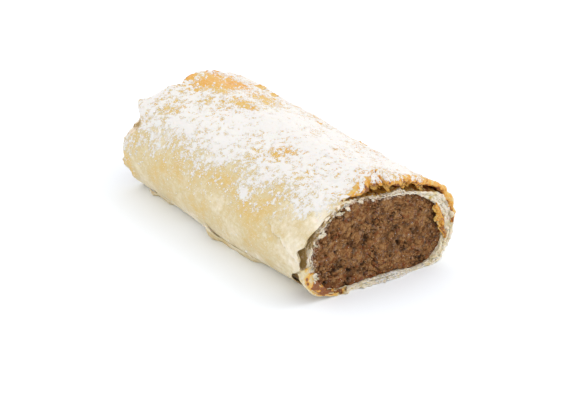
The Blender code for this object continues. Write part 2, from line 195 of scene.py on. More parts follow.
# Angle of the sugar's lower edge at the front, at even steps from the far end to the near end, how many
# degrees it takes to grow dense from there and from its back edge, and how far its grains keep off the
# torn ends.
SUGAR_EDGE = (-14.0, -7.0, 1.0, 4.0, 4.0, 4.0, 7.0, 9.0, 8.0, 10.0, 16.0, 28.0)
SUGAR_FADE = 52.0
SUGAR_BACK_ANGLE = 166.0
SUGAR_BACK_FADE = 44.0
SUGAR_DENSE = 0.78
SUGAR_MARGIN = 0.0006

# The inner sheets: how many show at a cut end, how deep they are modelled and stand loose, how full they
# pack the wall, how thick they are at the most and, as a share of that, at the least, and how uneven they
# end. The sheet under the crust ends a little behind the cut faces.
WRAPS = 5
WRAP_DEPTH = 0.0085
WRAP_LOOSE_DEPTH = 0.0050
WRAP_FILL = 1.45
WRAP_THICKNESS = 0.0012
WRAP_LEAST = 0.26
WRAP_RAGGED = 0.0006
UNDER_WRAP_SETBACK = 0.0020

# The browned sheet just inside the crust's near end: its span, its depth, and how far it stands behind
# the crust's edge and below its outside.
UNDER_ANGLES = (50.0, 162.0)
UNDER_DEPTH = 0.0150
UNDER_SETBACK = 0.0006
UNDER_DROP = 0.0009

# The tongue-shaped last fold over the front of the near end: its start, its edges, and how far it stands off.
TONGUE_START = 0.0290
TONGUE_LOW_ANGLE = 13.5
TONGUE_HIGH_ANGLE = 31.0
TONGUE_STAND = 0.0008

# The inner sheet laid bare by the torn corner: its span, how deep it reaches, how far it turns out, and its
# thickness.
CORNER_ANGLES = (-46.0, -4.0)
CORNER_LENGTH = 0.0020
CORNER_ROLL = 0.0008
CORNER_THICKNESS = 0.0009

# The browned end of an inner sheet, turned out over the back edge of the near cut face: its span, its width,
# and how far it stands off the filling and out of the cut face.
FLAKE_ANGLES = (162.0, 193.0)
FLAKE_WIDTH = 0.0046
FLAKE_ROOT = 0.0009
FLAKE_REACH = 0.0011

# Loose dough that lies against the foot of the front: start and end in x, and the angle that its upper edge
# reaches at its start and further on. Then its lower edge, how far it stands off at its two edges, and how
# far it leans along the roll.
FOOT_LIPS = (
    (-0.0045, 0.0235, -14.5, -25.5), (-0.0445, -0.0310, -23.0, -28.0),
)
LIP_LOW_ANGLE = -40.0
LIP_STAND = (0.0028, 0.0002)
LIP_SKEW = 0.0026

# The puffed bead that the crust's torn edge made over the crown: its two ends, half its height and width,
# and how far it lies behind the edge.
BEAD_ANGLES = (50.0, 194.0)
BEAD_HEIGHT = 0.0012
BEAD_WIDTH = 0.0015
BEAD_SETBACK = 0.0009

# Crumpled scraps of dough stuck to the rim of the near cut face: their number, what their draws start
# from, the angles that they lie between, and their least and greatest half width and length.
SCRAPS = 13
SCRAP_DRAWS = 11
SCRAP_ANGLES = (-14.0, 176.0)
SCRAP_HALF_WIDTH = (0.0003, 0.0008)
SCRAP_LENGTH = (0.0004, 0.0016)

# Shreds of browned dough hanging in the mouth of the near pocket: angle, half width, drop, lean. They start
# that far behind the crust's edge and below its outside.
SHREDS = (
    (69.0, 4.5, 0.0010, 3.0), (80.0, 6.0, 0.0016, 5.0), (90.0, 5.0, 0.0030, 9.0),
    (97.0, 6.0, 0.0022, -6.0), (109.0, 6.5, 0.0019, 6.0), (122.0, 6.0, 0.0012, -4.0),
    (136.0, 6.0, 0.0010, 4.0),
)
SHRED_SETBACK = 0.0010

# Flakes that stand up along the back shoulder: x, angle, length and height.
BACK_FLAKES = (
    (-0.0375, 135.0, 0.0055, 0.0011), (-0.0305, 137.0, 0.0040, 0.0008),
    (0.0140, 150.0, 0.0060, 0.0008),
)
BACK_FLAKE_WIDTH = 6.0

# The stage: half the table's width, and the light of the room and of the lamp.
TABLE_HALF_WIDTH = 4.0
ROOM_LIGHT = 1.15
LAMP_PLACE = (0.35, 0.85, 1.05)
LAMP_WIDTH = 0.9
LAMP_POWER = 3.4

# The camera: its angles, its distance from the middle of the base and how far it is moved up across
# its own view.
CAMERA_AZIMUTH = 54.995
CAMERA_ELEVATION = 25.861
CAMERA_DISTANCE = 0.92981
CAMERA_RISE = 0.00397
CAMERA_LENS = 171.98
CAMERA_TARGET = (0.00045, 0.0006, 0.0)


def linear(code):
    """A linear colour from an sRGB hex code."""
    parts = [int(code[start:start + 2], 16) / 255.0 for start in (1, 3, 5)]
    return tuple(part / 12.92 if part <= 0.04045 else ((part + 0.055) / 1.055) ** 2.4 for part in parts)


def length_prop(name, description, default):
    """A length that the user can change."""
    return bpy.props.FloatProperty(
        name=name, description=description, default=default, min=0.0, unit="LENGTH", precision=5
    )


def colour_prop(name, description, code):
    """A colour that the user can change."""
    return bpy.props.FloatVectorProperty(
        name=name, description=description, default=linear(code), size=3, min=0.0, max=1.0, subtype="COLOR"
    )


class StrudelSizes(bpy.types.PropertyGroup):
    """Sizes that can be changed without changing the roll's form."""

    crust_thickness: length_prop("Crust thickness", "Thickness of the outermost sheet", 0.00045)
    puffed_thickness: length_prop("Puffed thickness", "Thickness of the crust's puffed edge", 0.00130)
    flake_thickness: length_prop("Flake thickness", "Thickness of loose flakes and shreds", 0.00035)
    sugar_depth: length_prop("Sugar depth", "Depth of the sugar where it lies thickest", 0.00022)
    clump_size: length_prop("Clump size", "Radius of an average clump of sugar", 0.00032)
    grain_size: length_prop("Grain size", "Radius of an average grain of sugar", 0.00017)
    crumb_size: length_prop("Crumb size", "Width of an average piece of nut in the filling", 0.0015)
    crumb_height: length_prop("Crumb height", "How far the pieces of nut stand out of the cut face", 0.00056)
    clumps: bpy.props.IntProperty(name="Clumps", description="Number of clumps of sugar", default=1700, min=0)
    grains: bpy.props.IntProperty(name="Grains", description="Number of grains of sugar", default=9500, min=0)
    nut_bits: bpy.props.IntProperty(name="Nut bits", description="Bits of nut on each cut face", default=620, min=0)


class StrudelColours(bpy.types.PropertyGroup):
    """Colours of the dough, the filling and the sugar."""

    # Dough soaked by the filling, and also the olive-brown painted shade on the sheets in the front pockets.
    stained_and_shaded_dough: colour_prop("Stained dough", "Inner sheets that the filling soaked", "#A98A52")
    damp_dough: colour_prop("Damp dough", "Thin inner sheets that lie against the filling", "#E3CDB4")
    floury_dough: colour_prop("Floury dough", "Palest dough, dusted with flour", "#EDE2CE")
    pale_dough: colour_prop("Pale dough", "Baked dough that stayed pale", "#D0BD90")
    golden_dough: colour_prop("Golden dough", "Dough where the oven coloured it", "#D4AE58")
    browned_dough: colour_prop("Browned dough", "Dough at its torn, browned edges", "#D8972E")
    # Also the painted shade in the crown's pocket and under the rolled edge.
    scorched_and_shaded_dough: colour_prop("Scorched dough", "The darkest flakes of dough", "#854A1B")
    flour: colour_prop("Flour", "Specks and creases of flour on the sheets", "#E3DCCB")
    powdered_sugar: colour_prop("Powdered sugar", "Sugar dusted over the crown", "#E4E0DC")
    # The darkest paste, and also the colour of the painted shade in the filling's crevices.
    filling_shade: colour_prop("Filling, dark", "Crevices of the ground-nut filling", "#22120A")
    filling_body: colour_prop("Filling, body", "Most of the ground-nut filling", "#8A5D36")
    filling_nut: colour_prop("Filling, nut", "Pale pieces of nut in the filling", "#A67C4E")
    filling_skin: colour_prop("Filling, skin", "Brown nut skins", "#64401F")
    filling_syrup: colour_prop("Filling, syrup", "Reddish syrup round the edge of the filling", "#7A3D1C")
    tabletop: colour_prop("Tabletop", "The plain surface the strudel lies on", "#F6FAFF")


# ---------------------------------------------------------------- the roll's form


def smooth(value):
    """Ease from 0 to 1 with flat ends."""
    held = min(max(value, 0.0), 1.0)
    return held * held * (3.0 - 2.0 * held)


def blend(first, last, part):
    """The value that lies a part of the way from the first to the last."""
    return first + (last - first) * part


def bump(offset, half_width):
    """A rounded hump, 1 in its middle and 0 from its half width outwards."""
    return smooth(1.0 - abs(offset) / half_width)


def ring(radii, angle):
    """Radius at an angle, on a smooth closed curve through evenly spaced radii."""
    count = len(radii)
    place = (angle % 360.0) / 360.0 * count
    start = int(place) % count
    part = place - int(place)
    before, here, after, beyond = (radii[(start + step) % count] for step in (-1, 0, 1, 2))
    straight = after - before
    bend = 2.0 * before - 5.0 * here + 4.0 * after - beyond
    twist = 3.0 * here - before - 3.0 * after + beyond
    return here + 0.5 * part * (straight + part * (bend + part * twist))


def on_roll(x, angle, radius):
    """A place in the roll, held at or above the surface it lies on."""
    turn = math.radians(angle)
    y = AXIS_OFFSET - radius * math.cos(turn)
    return Vector((x, y, max(0.0, AXIS_HEIGHT + radius * math.sin(turn))))


def above_floor(radius, angle):
    """A radius cut back to the surface the roll lies on."""
    drop = -math.sin(math.radians(angle))
    if drop * radius > AXIS_HEIGHT:
        return AXIS_HEIGHT / drop
    return radius


def wave(x, angle, length, seed):
    """Noise from -1 to 1 that varies over a length and closes round the roll; the seed picks the pattern."""
    turn = math.radians(angle)
    reach = AXIS_HEIGHT * NOISE_RADIUS / length
    return noise.noise(Vector((x / length + seed, reach * math.cos(turn), reach * math.sin(turn))))


def waves(x, angle, *layers):
    """Sum of noises, each with its height, its length and its seed."""
    return sum(height * wave(x, angle, length, seed) for height, length, seed in layers)


def near_end(x, length):
    """1 at the near face, easing to 0 a length inwards."""
    return smooth((x - NEAR_FACE) / length + 1.0)


def far_end(x, length):
    """1 at the far face, easing to 0 a length inwards."""
    return smooth((FAR_FACE - x) / length + 1.0)


def roll_radius(x, angle):
    """Radius of the baked roll's outside."""
    along = (x - FAR_FACE) / (NEAR_FACE - FAR_FACE)
    middle = ring(MIDDLE_RADII, angle)
    end = ring(NEAR_RADII if along > 0.5 else FAR_RADII, angle)
    radius = blend(middle, end, smooth(abs(2.0 * along - 1.0)))
    swell = SWELL_HEIGHT * wave(x, angle, SWELL_LENGTH, 3.0)
    wrinkle = WRINKLE_HEIGHT * wave(x * 0.5, angle, WRINKLE_LENGTH, 11.0)
    return radius + swell + wrinkle


def cover(angle):
    """1 where the crust lies over the inner sheets, 0 round the base and the lower back."""
    front = smooth((angle - CRUST_FRONT_ANGLE + CRUST_MARGIN) / CRUST_FADE)
    return front * smooth((CRUST_BACK_ANGLE + CRUST_MARGIN - angle) / CRUST_FADE)


def pocket_depth(x, angle):
    """How far the air pockets press the inner sheets below the outside of the roll."""
    depths = [0.0]
    for pockets, fade in ((NEAR_POCKETS, near_end), (FAR_POCKETS, far_end)):
        for middle, half_width, deep, length in pockets:
            depths.append(deep * bump(angle - middle, half_width) ** 0.6 * fade(x, length))
    return max(depths)


def inner_radius(x, angle):
    """Radius of the outside of the inner sheets."""
    outer = roll_radius(x, angle) - CRUST_STAND * cover(angle) - pocket_depth(x, angle)
    return max(above_floor(outer, angle), ring(FILLING_RADII, angle) + FILLING_GAP + LEAST_WALL)


def crust_radius(x, angle):
    """Radius of the crust's outside."""
    crown = bump(angle - CROWN_ANGLE, CROWN_HALF_WIDTH)
    puff = NEAR_PUFF[0] * near_end(x, NEAR_PUFF[1]) + FAR_PUFF[0] * far_end(x, FAR_PUFF[1])
    curl = CURL[0] * smooth((x - NEAR_FACE) / CURL[1] + 0.5)
    shoulder = SHOULDER[0] * bump(angle - SHOULDER_ANGLE, SHOULDER_HALF_WIDTH) * near_end(x, SHOULDER[1])
    lift = BACK_EDGE_LIFT * smooth((angle - CRUST_BACK_ANGLE) / BACK_EDGE_WIDTH + 1.0)
    lift *= 1.0 - near_end(x, BACK_EDGE_START)
    flare = FLARE[0] * smooth((FLARE_ANGLE - angle) / FLARE_WIDTH + 1.0) * near_end(x, FLARE[1])
    return roll_radius(x, angle) + crown * (puff - curl) + shoulder + lift + flare


def tear(tears, angle):
    """How far a torn end of the crust stands out past the cut face at an angle."""
    return sum(reach * bump(angle - middle, half_width) for middle, half_width, reach in tears)


def ragged(angle, seed):
    """Fine unevenness of a torn edge."""
    return waves(0.0, angle, (RAGGED, 0.0022, seed), (0.6 * RAGGED, 0.0009, seed + 4.0))


def crust_near_edge(angle):
    """x of the crust's torn edge at the near end."""
    return NEAR_FACE - CRUST_SETBACK + tear(NEAR_TEARS, angle) + ragged(angle, 21.0)


def crust_far_edge(angle):
    """x of the crust's torn edge at the far end."""
    return FAR_FACE + CRUST_SETBACK - tear(FAR_TEARS, angle) - ragged(angle, 35.0)


def spread(u):
    """Even steps made closer towards both ends."""
    return 0.35 * u + 0.65 * smooth(u)


# ---------------------------------------------------------------- browning and sugar


def patches(spots, x, angle):
    """Sum of soft oval patches at a place on the roll."""
    total = 0.0
    for middle, at_angle, half_length, half_angle, strength in spots:
        off = math.hypot((x - middle) / half_length, (angle - at_angle) / half_angle)
        total += strength * smooth(1.3 - off)
    return total


def crust_browning(x, angle):
    """How brown the oven made the crust, from 0, pale, to 1, scorched."""
    front, back = CROWN_BROWNED_ANGLES
    top = CROWN_BROWNING * smooth((angle - front) / CROWN_BROWNED_FADE)
    top *= smooth((back - angle) / CROWN_BROWNED_FADE)
    cloud = waves(x, angle, (0.12, 0.0180, 71.0), (0.08, 0.0060, 73.0))
    return FOOT_BROWNING + top + cloud + patches(BROWNED_PATCHES, x, angle)


def sugar_cover(x, angle):
    """Share of the crust that the sugar covers at a place; under 0 none, over 1 deep and even."""
    steps = len(SUGAR_EDGE) - 1
    along = min(max((x - FAR_FACE) / (NEAR_FACE - FAR_FACE), 0.0), 0.9999) * steps
    start = int(along)
    edge = blend(*SUGAR_EDGE[start:start + 2], along - start)
    edge += 4.0 * wave(x, 30.0, 0.0060, 81.0)
    front = (angle - edge) / SUGAR_FADE
    back = (SUGAR_BACK_ANGLE + 9.0 * wave(x, 150.0, 0.0110, 83.0) - angle) / SUGAR_BACK_FADE
    within = min(front, back)
    dense = SUGAR_DENSE - 0.08 * smooth((-0.0080 - x) / 0.0120)
    cloud = 0.38 * wave(x, angle, 0.0100, 85.0) + 0.36 * wave(x * 0.7, angle, 0.0042, 87.0)
    if within < 0.0:
        return 1.6 * within
    thick = dense * (1.0 - (1.0 - min(within, 1.0)) ** 2.1)
    return thick + cloud * smooth(4.0 * within) * (1.35 - thick) - patches(BARE_PATCHES, x, angle)


def sugar_clumps(x, angle):
    """Sugar at a place, gathered into clumps a millimetre or two wide; over a half it hides the dough."""
    clump = waves(x, angle, (0.46, 0.0017, 91.0), (0.40, 0.0008, 93.0))
    return sugar_cover(x, angle) + clump


def crust_detail(x, angle):
    """Fine relief of the baked crust: ridges along the roll, creases, blisters and crumpled ends."""
    ridges = 0.00011 * wave(x * 0.25, angle, 0.0034, 51.0) + 0.00006 * wave(x * 0.5, angle, 0.0015, 53.0)
    crease = 0.00022 * smooth(1.0 - abs(wave(x, angle + 260.0 * x, 0.0170, 55.0)) * 14.0)
    blister = 0.00028 * smooth(4.0 * wave(x, angle, 0.0048, 57.0) - 1.3)
    crumple = near_end(x, 0.0070) + far_end(x, 0.0060)
    rough = waves(x, angle, (0.00040, 0.0021, 59.0), (0.00030, 0.0010, 61.0))
    frill = 0.00110 * near_end(x, 0.0034) * wave(0.3 * x, angle, 0.0032, 63.0) * bump(angle - 104.0, 56.0)
    return ridges - crease + blister + frill + crumple * rough * smooth((angle - 20.0) / 30.0)


# ---------------------------------------------------------------- sheets of dough


def new_shape():
    """An empty shape whose points carry their browning, their sugar and their share of thickness."""
    shape = bmesh.new()
    shape.verts.layers.float.new("browning")
    shape.verts.layers.float.new("sugar")
    shape.verts.layers.deform.verify()
    return shape


def add_sheet(shape, columns, rows, spot, part=(), joined=False):
    """Add a sheet of dough: a grid bent by a function of u and v, from 0 to 1 across it, and of the values that
    set this part apart. The function gives a point's place, browning, sugar and share of thickness."""
    grid = bmesh.ops.create_grid(shape, x_segments=columns, y_segments=rows, size=0.5)["verts"]
    browning = shape.verts.layers.float["browning"]
    sugar = shape.verts.layers.float["sugar"]
    thickness = shape.verts.layers.deform.active
    for vertex in grid:
        place, browned, dusted, thick = spot(vertex.co.x + 0.5, vertex.co.y + 0.5, *part)
        vertex.co = place
        vertex[browning] = browned
        vertex[sugar] = dusted
        vertex[thickness][0] = min(max(thick, LEAST_THICKNESS), 1.0)
    if joined:
        bmesh.ops.remove_doubles(shape, verts=grid, dist=1e-6)
    return shape


def sheets(columns, rows, parts=((),), joined=False):
    """Turn a function that bends a grid into one that makes the shape of all its parts' sheets."""
    def maker(spot):
        @functools.wraps(spot)
        def make():
            shape = new_shape()
            for part in parts:
                add_sheet(shape, columns, rows, spot, part, joined)
            return shape
        return make
    return maker


def numbered(table):
    """The rows of a table, each with its number before it."""
    return [(number, *row) for number, row in enumerate(table)]


def mesh_of(name, shape):
    """A mesh made of a finished shape."""
    mesh = bpy.data.meshes.new(name)
    shape.to_mesh(mesh)
    shape.free()
    return mesh


def add_object(name, data):
    """Add an object to the scene."""
    made = bpy.data.objects.new(name, data)
    bpy.context.scene.collection.objects.link(made)
    return made


def add_piece(name, mesh, material):
    """Add a smooth piece of one material that rides on the roll."""
    mesh.shade_smooth()
    mesh.materials.append(material)
    piece = add_object(name, mesh)
    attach(piece, "root")
    return piece


def add_dough(name, shape, thickness):
    """Add sheets of dough, thickened inwards."""
    piece = add_piece(name, mesh_of(name, shape), surface(baked_strudel_dough))
    piece.vertex_groups.new(name="thickness")
    if thickness > 0.0:
        solid = piece.modifiers.new("thickness", "SOLIDIFY")
        solid.thickness = thickness
        solid.offset = -1.0
        solid.vertex_group = "thickness"
    return piece


def edge_taper(distance, width):
    """Share of a sheet's thickness near a torn edge."""
    return 0.45 + 0.55 * smooth(distance / width)


def crust_spot(x, angle, sugar_depth):
    """Place, browning and sugar of the crust."""
    dusted = sugar_clumps(x, angle)
    radius = crust_radius(x, angle) + crust_detail(x, angle) + sugar_depth * smooth(1.4 * dusted - 0.4)
    return on_roll(x, angle, radius), crust_browning(x, angle), dusted


def outer_crust(sizes):
    """Shape of the outermost sheet with its torn ends."""
    plain = sizes.crust_thickness / sizes.puffed_thickness

    def spot(u, v):
        angle = blend(CRUST_FRONT_ANGLE, CRUST_BACK_ANGLE, v)
        far = crust_far_edge(angle)
        near = crust_near_edge(angle)
        x = blend(far, near, spread(u))
        angle += SHOULDER_FALL * v ** 6 * near_end(x, SHOULDER[1])
        angle += 3.0 * smooth(4.0 * v - 3.0) * wave(x, 180.0, 0.0060, 8.0)
        angle += 1.2 * smooth(20.0 * v - 19.0) * wave(x, 180.0, 0.0016, 9.0)
        place, browned, dusted = crust_spot(x, angle, sizes.sugar_depth)
        rim = min(near - x, x - far, 0.045 * (1.0 - v))
        torn = smooth(1.0 - (near - x) / 0.0016) * bump(angle - 104.0, 58.0)
        puffed = near_end(x, 0.0050) * bump(angle - 108.0, 62.0) * (0.7 + 0.6 * wave(x, angle, 0.0018, 99.0))
        browned += 0.10 * smooth(1.0 - rim / 0.0012) * smooth((angle - 50.0) / 20.0)
        thick = plain * edge_taper(rim, 0.0010) + (1.0 - plain) * puffed
        return place, browned, dusted - 1.2 * torn, thick

    return add_sheet(new_shape(), 236, 204, spot)


@sheets(40, 130)
def under_crust(u, v):
    """The browned sheet just inside the crust's near end."""
    angle = blend(*UNDER_ANGLES, v)
    reach = waves(0.0, angle, (0.0013, 0.0030, 101.0), (0.0009, 0.0012, 103.0))
    near = crust_near_edge(angle) - UNDER_SETBACK + reach
    x = near - UNDER_DEPTH * (1.0 - u) ** 1.5
    drop = UNDER_DROP + 0.0007 * wave(x, angle, 0.0034, 102.0) + 0.0003 * u
    crumple = waves(x, angle, (0.00050, 0.0016, 104.0), (0.00030, 0.0008, 101.0))
    place = on_roll(x, angle, crust_radius(x, angle) - drop * bump(angle - 106.0, 62.0) ** 0.5 + crumple)
    return place, 0.64 + 0.34 * wave(x, angle, 0.0026, 106.0), 0.0, edge_taper(near - x, 0.0006)


def wrap_spot(x, angle, share, loose, seed):
    """Place of a sheet of the roll at a share of the wall between the filling and the outside."""
    inner = ring(FILLING_RADII, angle) + FILLING_GAP
    outer = inner_radius(x, angle)
    shift = 0.16 * wave(x, angle, 0.0090, seed) * (1.0 - share)
    crumple = waves(x, angle, (0.00040, 0.0026, seed + 2.0 * share), (0.00055, 0.0012, seed + 7.0 * share),
                    (0.00030, 0.0006, seed + 9.0 * share))
    thick = WRAP_FILL * (outer - inner) / WRAPS / WRAP_THICKNESS
    radius = blend(inner, outer, min(share + shift, 1.0)) + crumple * loose
    return on_roll(x, angle, above_floor(radius, angle)), max(thick, WRAP_LEAST)


def wrap_setback(number, angle, seed):
    """How far a sheet's end stands behind the cut face."""
    uneven = 0.0006 * wave(0.1 * number, angle, 0.0070, seed)
    torn = WRAP_RAGGED * (wave(0.0, angle, 0.0020, seed + 1.0) + 0.8 * wave(0.0, angle, 0.0007, seed + 2.0))
    smeared = 0.0007 * bump(angle - 50.0, 75.0) * (number < WRAPS - 1)
    return 0.0003 * (number % 2) + smeared + uneven + torn


def wrap_finish(x, angle, number, end):
    """Browning and flour of an inner sheet, with painted shade in the pockets: olive-brown in the front pocket and
    dark brown in the crown's; syrupy below.
    """
    inside = smooth((end - 0.0002) / 0.0010)
    # Painted shade on the outermost inner sheet inside the pockets: paler tone towards olive at the front, browner
    # under the crown.
    painted_pocket_shade = inside * min(pocket_depth(x, angle) / 0.0016, 1.0) * (number == WRAPS - 1)
    crown = smooth((angle - 36.0) / 16.0)
    foot = 0.66 * bump(angle + 31.0, 15.0) * smooth(1.4 - 0.4 * number)
    spike = 0.30 * bump(angle + 12.0, 12.0) * far_end(x, 0.0060)
    outside = 1.0 - inside
    back = 0.50 * smooth(3.0 * wave(x, angle, 0.0024, 119.0) - 0.3) * bump(angle % 360.0 - 166.0, 52.0) * outside
    damp = 0.15 * bump(angle - 95.0, 125.0) ** 0.5 * outside
    smear = 0.48 * smooth(4.0 * wave(x, angle, 0.0014, 117.0) - 0.2) * outside * bump(angle - 40.0, 90.0)
    floury = 0.30 * bump(angle + 100.0, 62.0) + 0.25 * outside
    tone = 0.11 + painted_pocket_shade * (0.98 * crown - 0.40) + foot + back + spike - damp - smear
    return tone + 0.20 * wave(x, angle, 0.0018, 113.0 + number), floury * (1.0 - min(foot, 1.0))


def wrap_end(u, v, face, side, seed, spiked, number):
    """Place and finish of a point near the end of an inner sheet, which faces outwards at both cut faces."""
    angle = -180.0 + 360.0 * (v if side > 0.0 else 1.0 - v)
    spikes = tear(spiked, angle) * (0.25 + 0.25 * number)
    end = WRAP_DEPTH * (1.0 - u) ** 1.8
    x = face - side * (end + wrap_setback(number, angle, seed + 10.0 * number) - spikes)
    loose = smooth(1.0 - end / WRAP_LOOSE_DEPTH)
    place, thick = wrap_spot(x, angle, (number + 1.0) / WRAPS, loose, seed)
    return place, *wrap_finish(x, angle, number, end), thick


def inner_wraps():
    """Shape of the ends of the inner sheets at both cut faces."""
    shape = new_shape()
    for face, side, rows, seed, spiked in (
        (NEAR_FACE, 1.0, 420, 200.0, NEAR_SPIKES), (FAR_FACE, -1.0, 260, 300.0, FAR_SPIKES),
    ):
        for number in range(WRAPS):
            add_sheet(shape, 10, rows, wrap_end, (face, side, seed, spiked, number), joined=True)
    return shape


@sheets(150, 230, joined=True)
def under_wrap(u, v):
    """The sheet that shows along the base and the lower back, between the cut ends."""
    angle = -90.0 + 360.0 * v
    x = blend(FAR_FACE + UNDER_WRAP_SETBACK, NEAR_FACE - UNDER_WRAP_SETBACK, u)
    radius = inner_radius(x, angle) - 0.00005 + 0.8 * crust_detail(x, angle) * smooth((angle - 150.0) / 12.0)
    # Painted shade where the pockets press the sheet in: olive-brown at the front, brown under the crown.
    painted_pocket_shade = min(pocket_depth(x, angle) / 0.0010, 1.0) * (0.70 * smooth((angle - 36.0) / 16.0) - 0.45)
    browned = 0.20 + 0.15 * wave(x, angle, 0.0120, 121.0) + painted_pocket_shade
    return on_roll(x, angle, above_floor(radius, angle)), browned, 0.05, 1.0


@sheets(64, 34)
def tongue_fold(u, v):
    """The last fold of dough, whose lower edge slants down to the torn corner."""
    lower = TONGUE_LOW_ANGLE * (1.0 - u) ** 0.8 + 0.6 * math.sin(14.0 * u)
    lower += waves(u * 0.03, 0.0, (1.6, 0.0030, 131.0), (0.9, 0.0011, 135.0))
    angle = blend(lower, TONGUE_HIGH_ANGLE, v)
    near = crust_near_edge(angle) + 0.0003
    x = blend(TONGUE_START, near, u)
    stand = TONGUE_STAND * smooth(2.5 * u) * smooth(2.5 * (1.0 - v)) - 0.0001
    radius = crust_radius(x, angle) + 0.7 * crust_detail(x, angle) + stand
    # The tongue is a little paler than the crust, and its lower edge is painted paler still as a painted highlight.
    browned = crust_browning(x, angle) - 0.06 * smooth(3.0 * u) - 0.10 * smooth(1.0 - 16.0 * v)
    dusted = max(0.16 * smooth((x - 0.0400) / 0.0080), sugar_clumps(x, angle))
    return on_roll(x, angle, radius), browned, dusted, edge_taper(min(near - x, 0.02 * v), 0.0008)


@sheets(40, 76)
def torn_corner(u, v):
    """The fold laid bare by the torn corner: it stands up at the cut face, turns out along its upper
    edge, and is glazed with syrup where it comes down to the filling."""
    angle = blend(*CORNER_ANGLES, v)
    back = 1.0 - smooth(2.5 * u)
    down = smooth((u - 0.30) / 0.70)
    outside = roll_radius(NEAR_FACE, angle) + 0.0015 * bump(angle + 14.0, 22.0)
    outside += CORNER_ROLL * smooth(4.0 * v - 3.0) * (1.0 - down) - 0.0008 * smooth((-26.0 - angle) / 8.0)
    inside = ring(FILLING_RADII, angle) - 0.0003 + 0.0005 * wave(0.0, angle, 0.0022, 141.0)
    crumple = waves(down * 0.005, angle, (0.00038, 0.0022, 143.0), (0.00024, 0.0009, 145.0))
    x = NEAR_FACE + 0.0008 - CORNER_LENGTH * back - 0.0006 * down + crumple
    radius = blend(outside, inside, down) - 0.0024 * back * back + crumple
    glaze = smooth(1.5 * wave(down * 0.004, angle, 0.0018, 149.0) + 1.1 - 0.7 * smooth((angle + 20.0) / 12.0))
    syrup = glaze * (0.62 + 0.20 * wave(down * 0.004, angle, 0.0011, 145.0)) * smooth((down - 0.02) / 0.30)
    browned = 0.21 + syrup + 0.14 * wave(down * 0.004, angle, 0.0014, 147.0)
    place = on_roll(x, angle, radius)
    place.z = max(place.z, 1.3 * CORNER_THICKNESS * smooth(4.0 * down))
    return place, browned, 0.16 * (1.0 - syrup), 1.0


@sheets(80, 26, FOOT_LIPS)
def foot_lips(u, v, start, end, first, later):
    """The loose dough that lies against the foot of the front."""
    x = blend(start, end, u)
    crest = blend(first, later, smooth(6.5 * u)) + 2.5 * u - 8.0 * smooth(6.0 * u - 5.0)
    crest += waves(x, 0.0, (0.9, 0.0040, 14.0), (0.4, 0.0012, 15.0))
    angle = blend(LIP_LOW_ANGLE, crest, v)
    ripple = 0.0005 * wave(x, 40.0 * v, 0.0042, 16.0) * (1.0 - v)
    loose = 0.0006 * v * smooth(1.0 - 5.0 * u)
    stand = LIP_STAND[1] + (LIP_STAND[0] * (1.0 - v) + loose + ripple) * smooth(5.0 * (1.0 - u))
    browned = 0.21 + 0.10 * wave(x, 50.0 * v, 0.0050, 151.0) - 0.08 * smooth(4.0 * v - 3.0)
    place = on_roll(x + LIP_SKEW * (1.0 - u) ** 4 * v, angle, crust_radius(x, angle) + stand)
    return place, browned, 0.05, edge_taper(0.01 * (1.0 - v), 0.0010)


@sheets(26, 300, joined=True)
def rolled_edge(u, v):
    """The puffed, blistered bead along the crust's torn edge over the crown."""
    angle = blend(*BEAD_ANGLES, v)
    turn = -2.0 * math.pi * u
    swell = smooth(8.0 * v) * smooth(8.0 * (1.0 - v)) * (1.15 - 0.25 * smooth((angle - 100.0) / 30.0))
    swell *= 1.0 + 0.45 * bump(angle - 172.0, 26.0)
    lump = 1.0 + waves(0.0, angle, (0.60, 0.0046, 251.0), (0.12, 0.0015, 253.0))
    x = crust_near_edge(angle) - BEAD_SETBACK + BEAD_WIDTH * swell * lump * math.cos(turn)
    middle = crust_radius(x, angle) - 0.5 * BEAD_HEIGHT * swell * (1.0 - 0.9 * bump(angle - 172.0, 26.0))
    bent = x + 0.0016 * math.sin(turn)
    blister = waves(bent, angle, (0.00050, 0.0016, 255.0), (0.00034, 0.0007, 257.0))
    radius = middle + BEAD_HEIGHT * swell * lump * math.sin(turn) + blister * swell
    browned = 0.64 + waves(bent, angle, (0.26, 0.0024, 259.0), (0.26, 0.0009, 261.0))
    browned -= 0.02 * smooth((118.0 - angle) / 20.0) + 0.03 * smooth((angle - 150.0) / 24.0)
    dusted = 0.62 * smooth(math.sin(turn) + 0.4) * smooth(2.0 * wave(x, angle, 0.0026, 263.0) + 0.8)
    dusted *= smooth((150.0 - angle) / 24.0)
    # Painted shade: the bead is painted browner on its underside and paler on its top.
    return on_roll(x, angle, radius), browned - 0.16 * math.sin(turn), dusted, 1.0


def scraps():
    """What sets each scrap apart: its number, its angle, half width, length and lean, and how brown it is."""
    draw = random.Random(SCRAP_DRAWS)
    for number in range(SCRAPS):
        middle = blend(*SCRAP_ANGLES, draw.random() ** 1.4)
        half_width = math.degrees(draw.uniform(*SCRAP_HALF_WIDTH) / ring(FILLING_RADII, middle))
        reach = draw.uniform(*SCRAP_LENGTH)
        yield number, middle, half_width, reach, draw.uniform(-5.0, 5.0), draw.uniform(-0.20, 0.14)


@sheets(9, 8, tuple(scraps()))
def edge_scraps(u, v, number, middle, half_width, reach, lean, tone):
    """The crumpled scraps of dough stuck to the rim of the near cut face."""
    side = 2.0 * u - 1.0
    frayed = (1.0 - 0.5 * v * v) * (1.0 + 0.5 * wave(0.02 * v, 90.0 * side, 0.0030, 271.0 + number))
    angle = middle + half_width * side * frayed + lean * v
    long = reach * v * (1.0 + 0.5 * wave(0.012 * u, 0.0, 0.0024, 273.0 + number))
    crumple = 0.0005 * wave(0.010 * u, 120.0 * v, 0.0016, 275.0 + number)
    x = NEAR_FACE - 0.0003 + 0.0008 * smooth(2.5 * v) + crumple
    place = on_roll(x, angle, ring(FILLING_RADII, angle) + 0.0005 - long)
    return place, tone + 0.16 * wave(0.01 * u, 60.0 * v, 0.0016, 277.0), 0.05, 1.0 - 0.4 * v


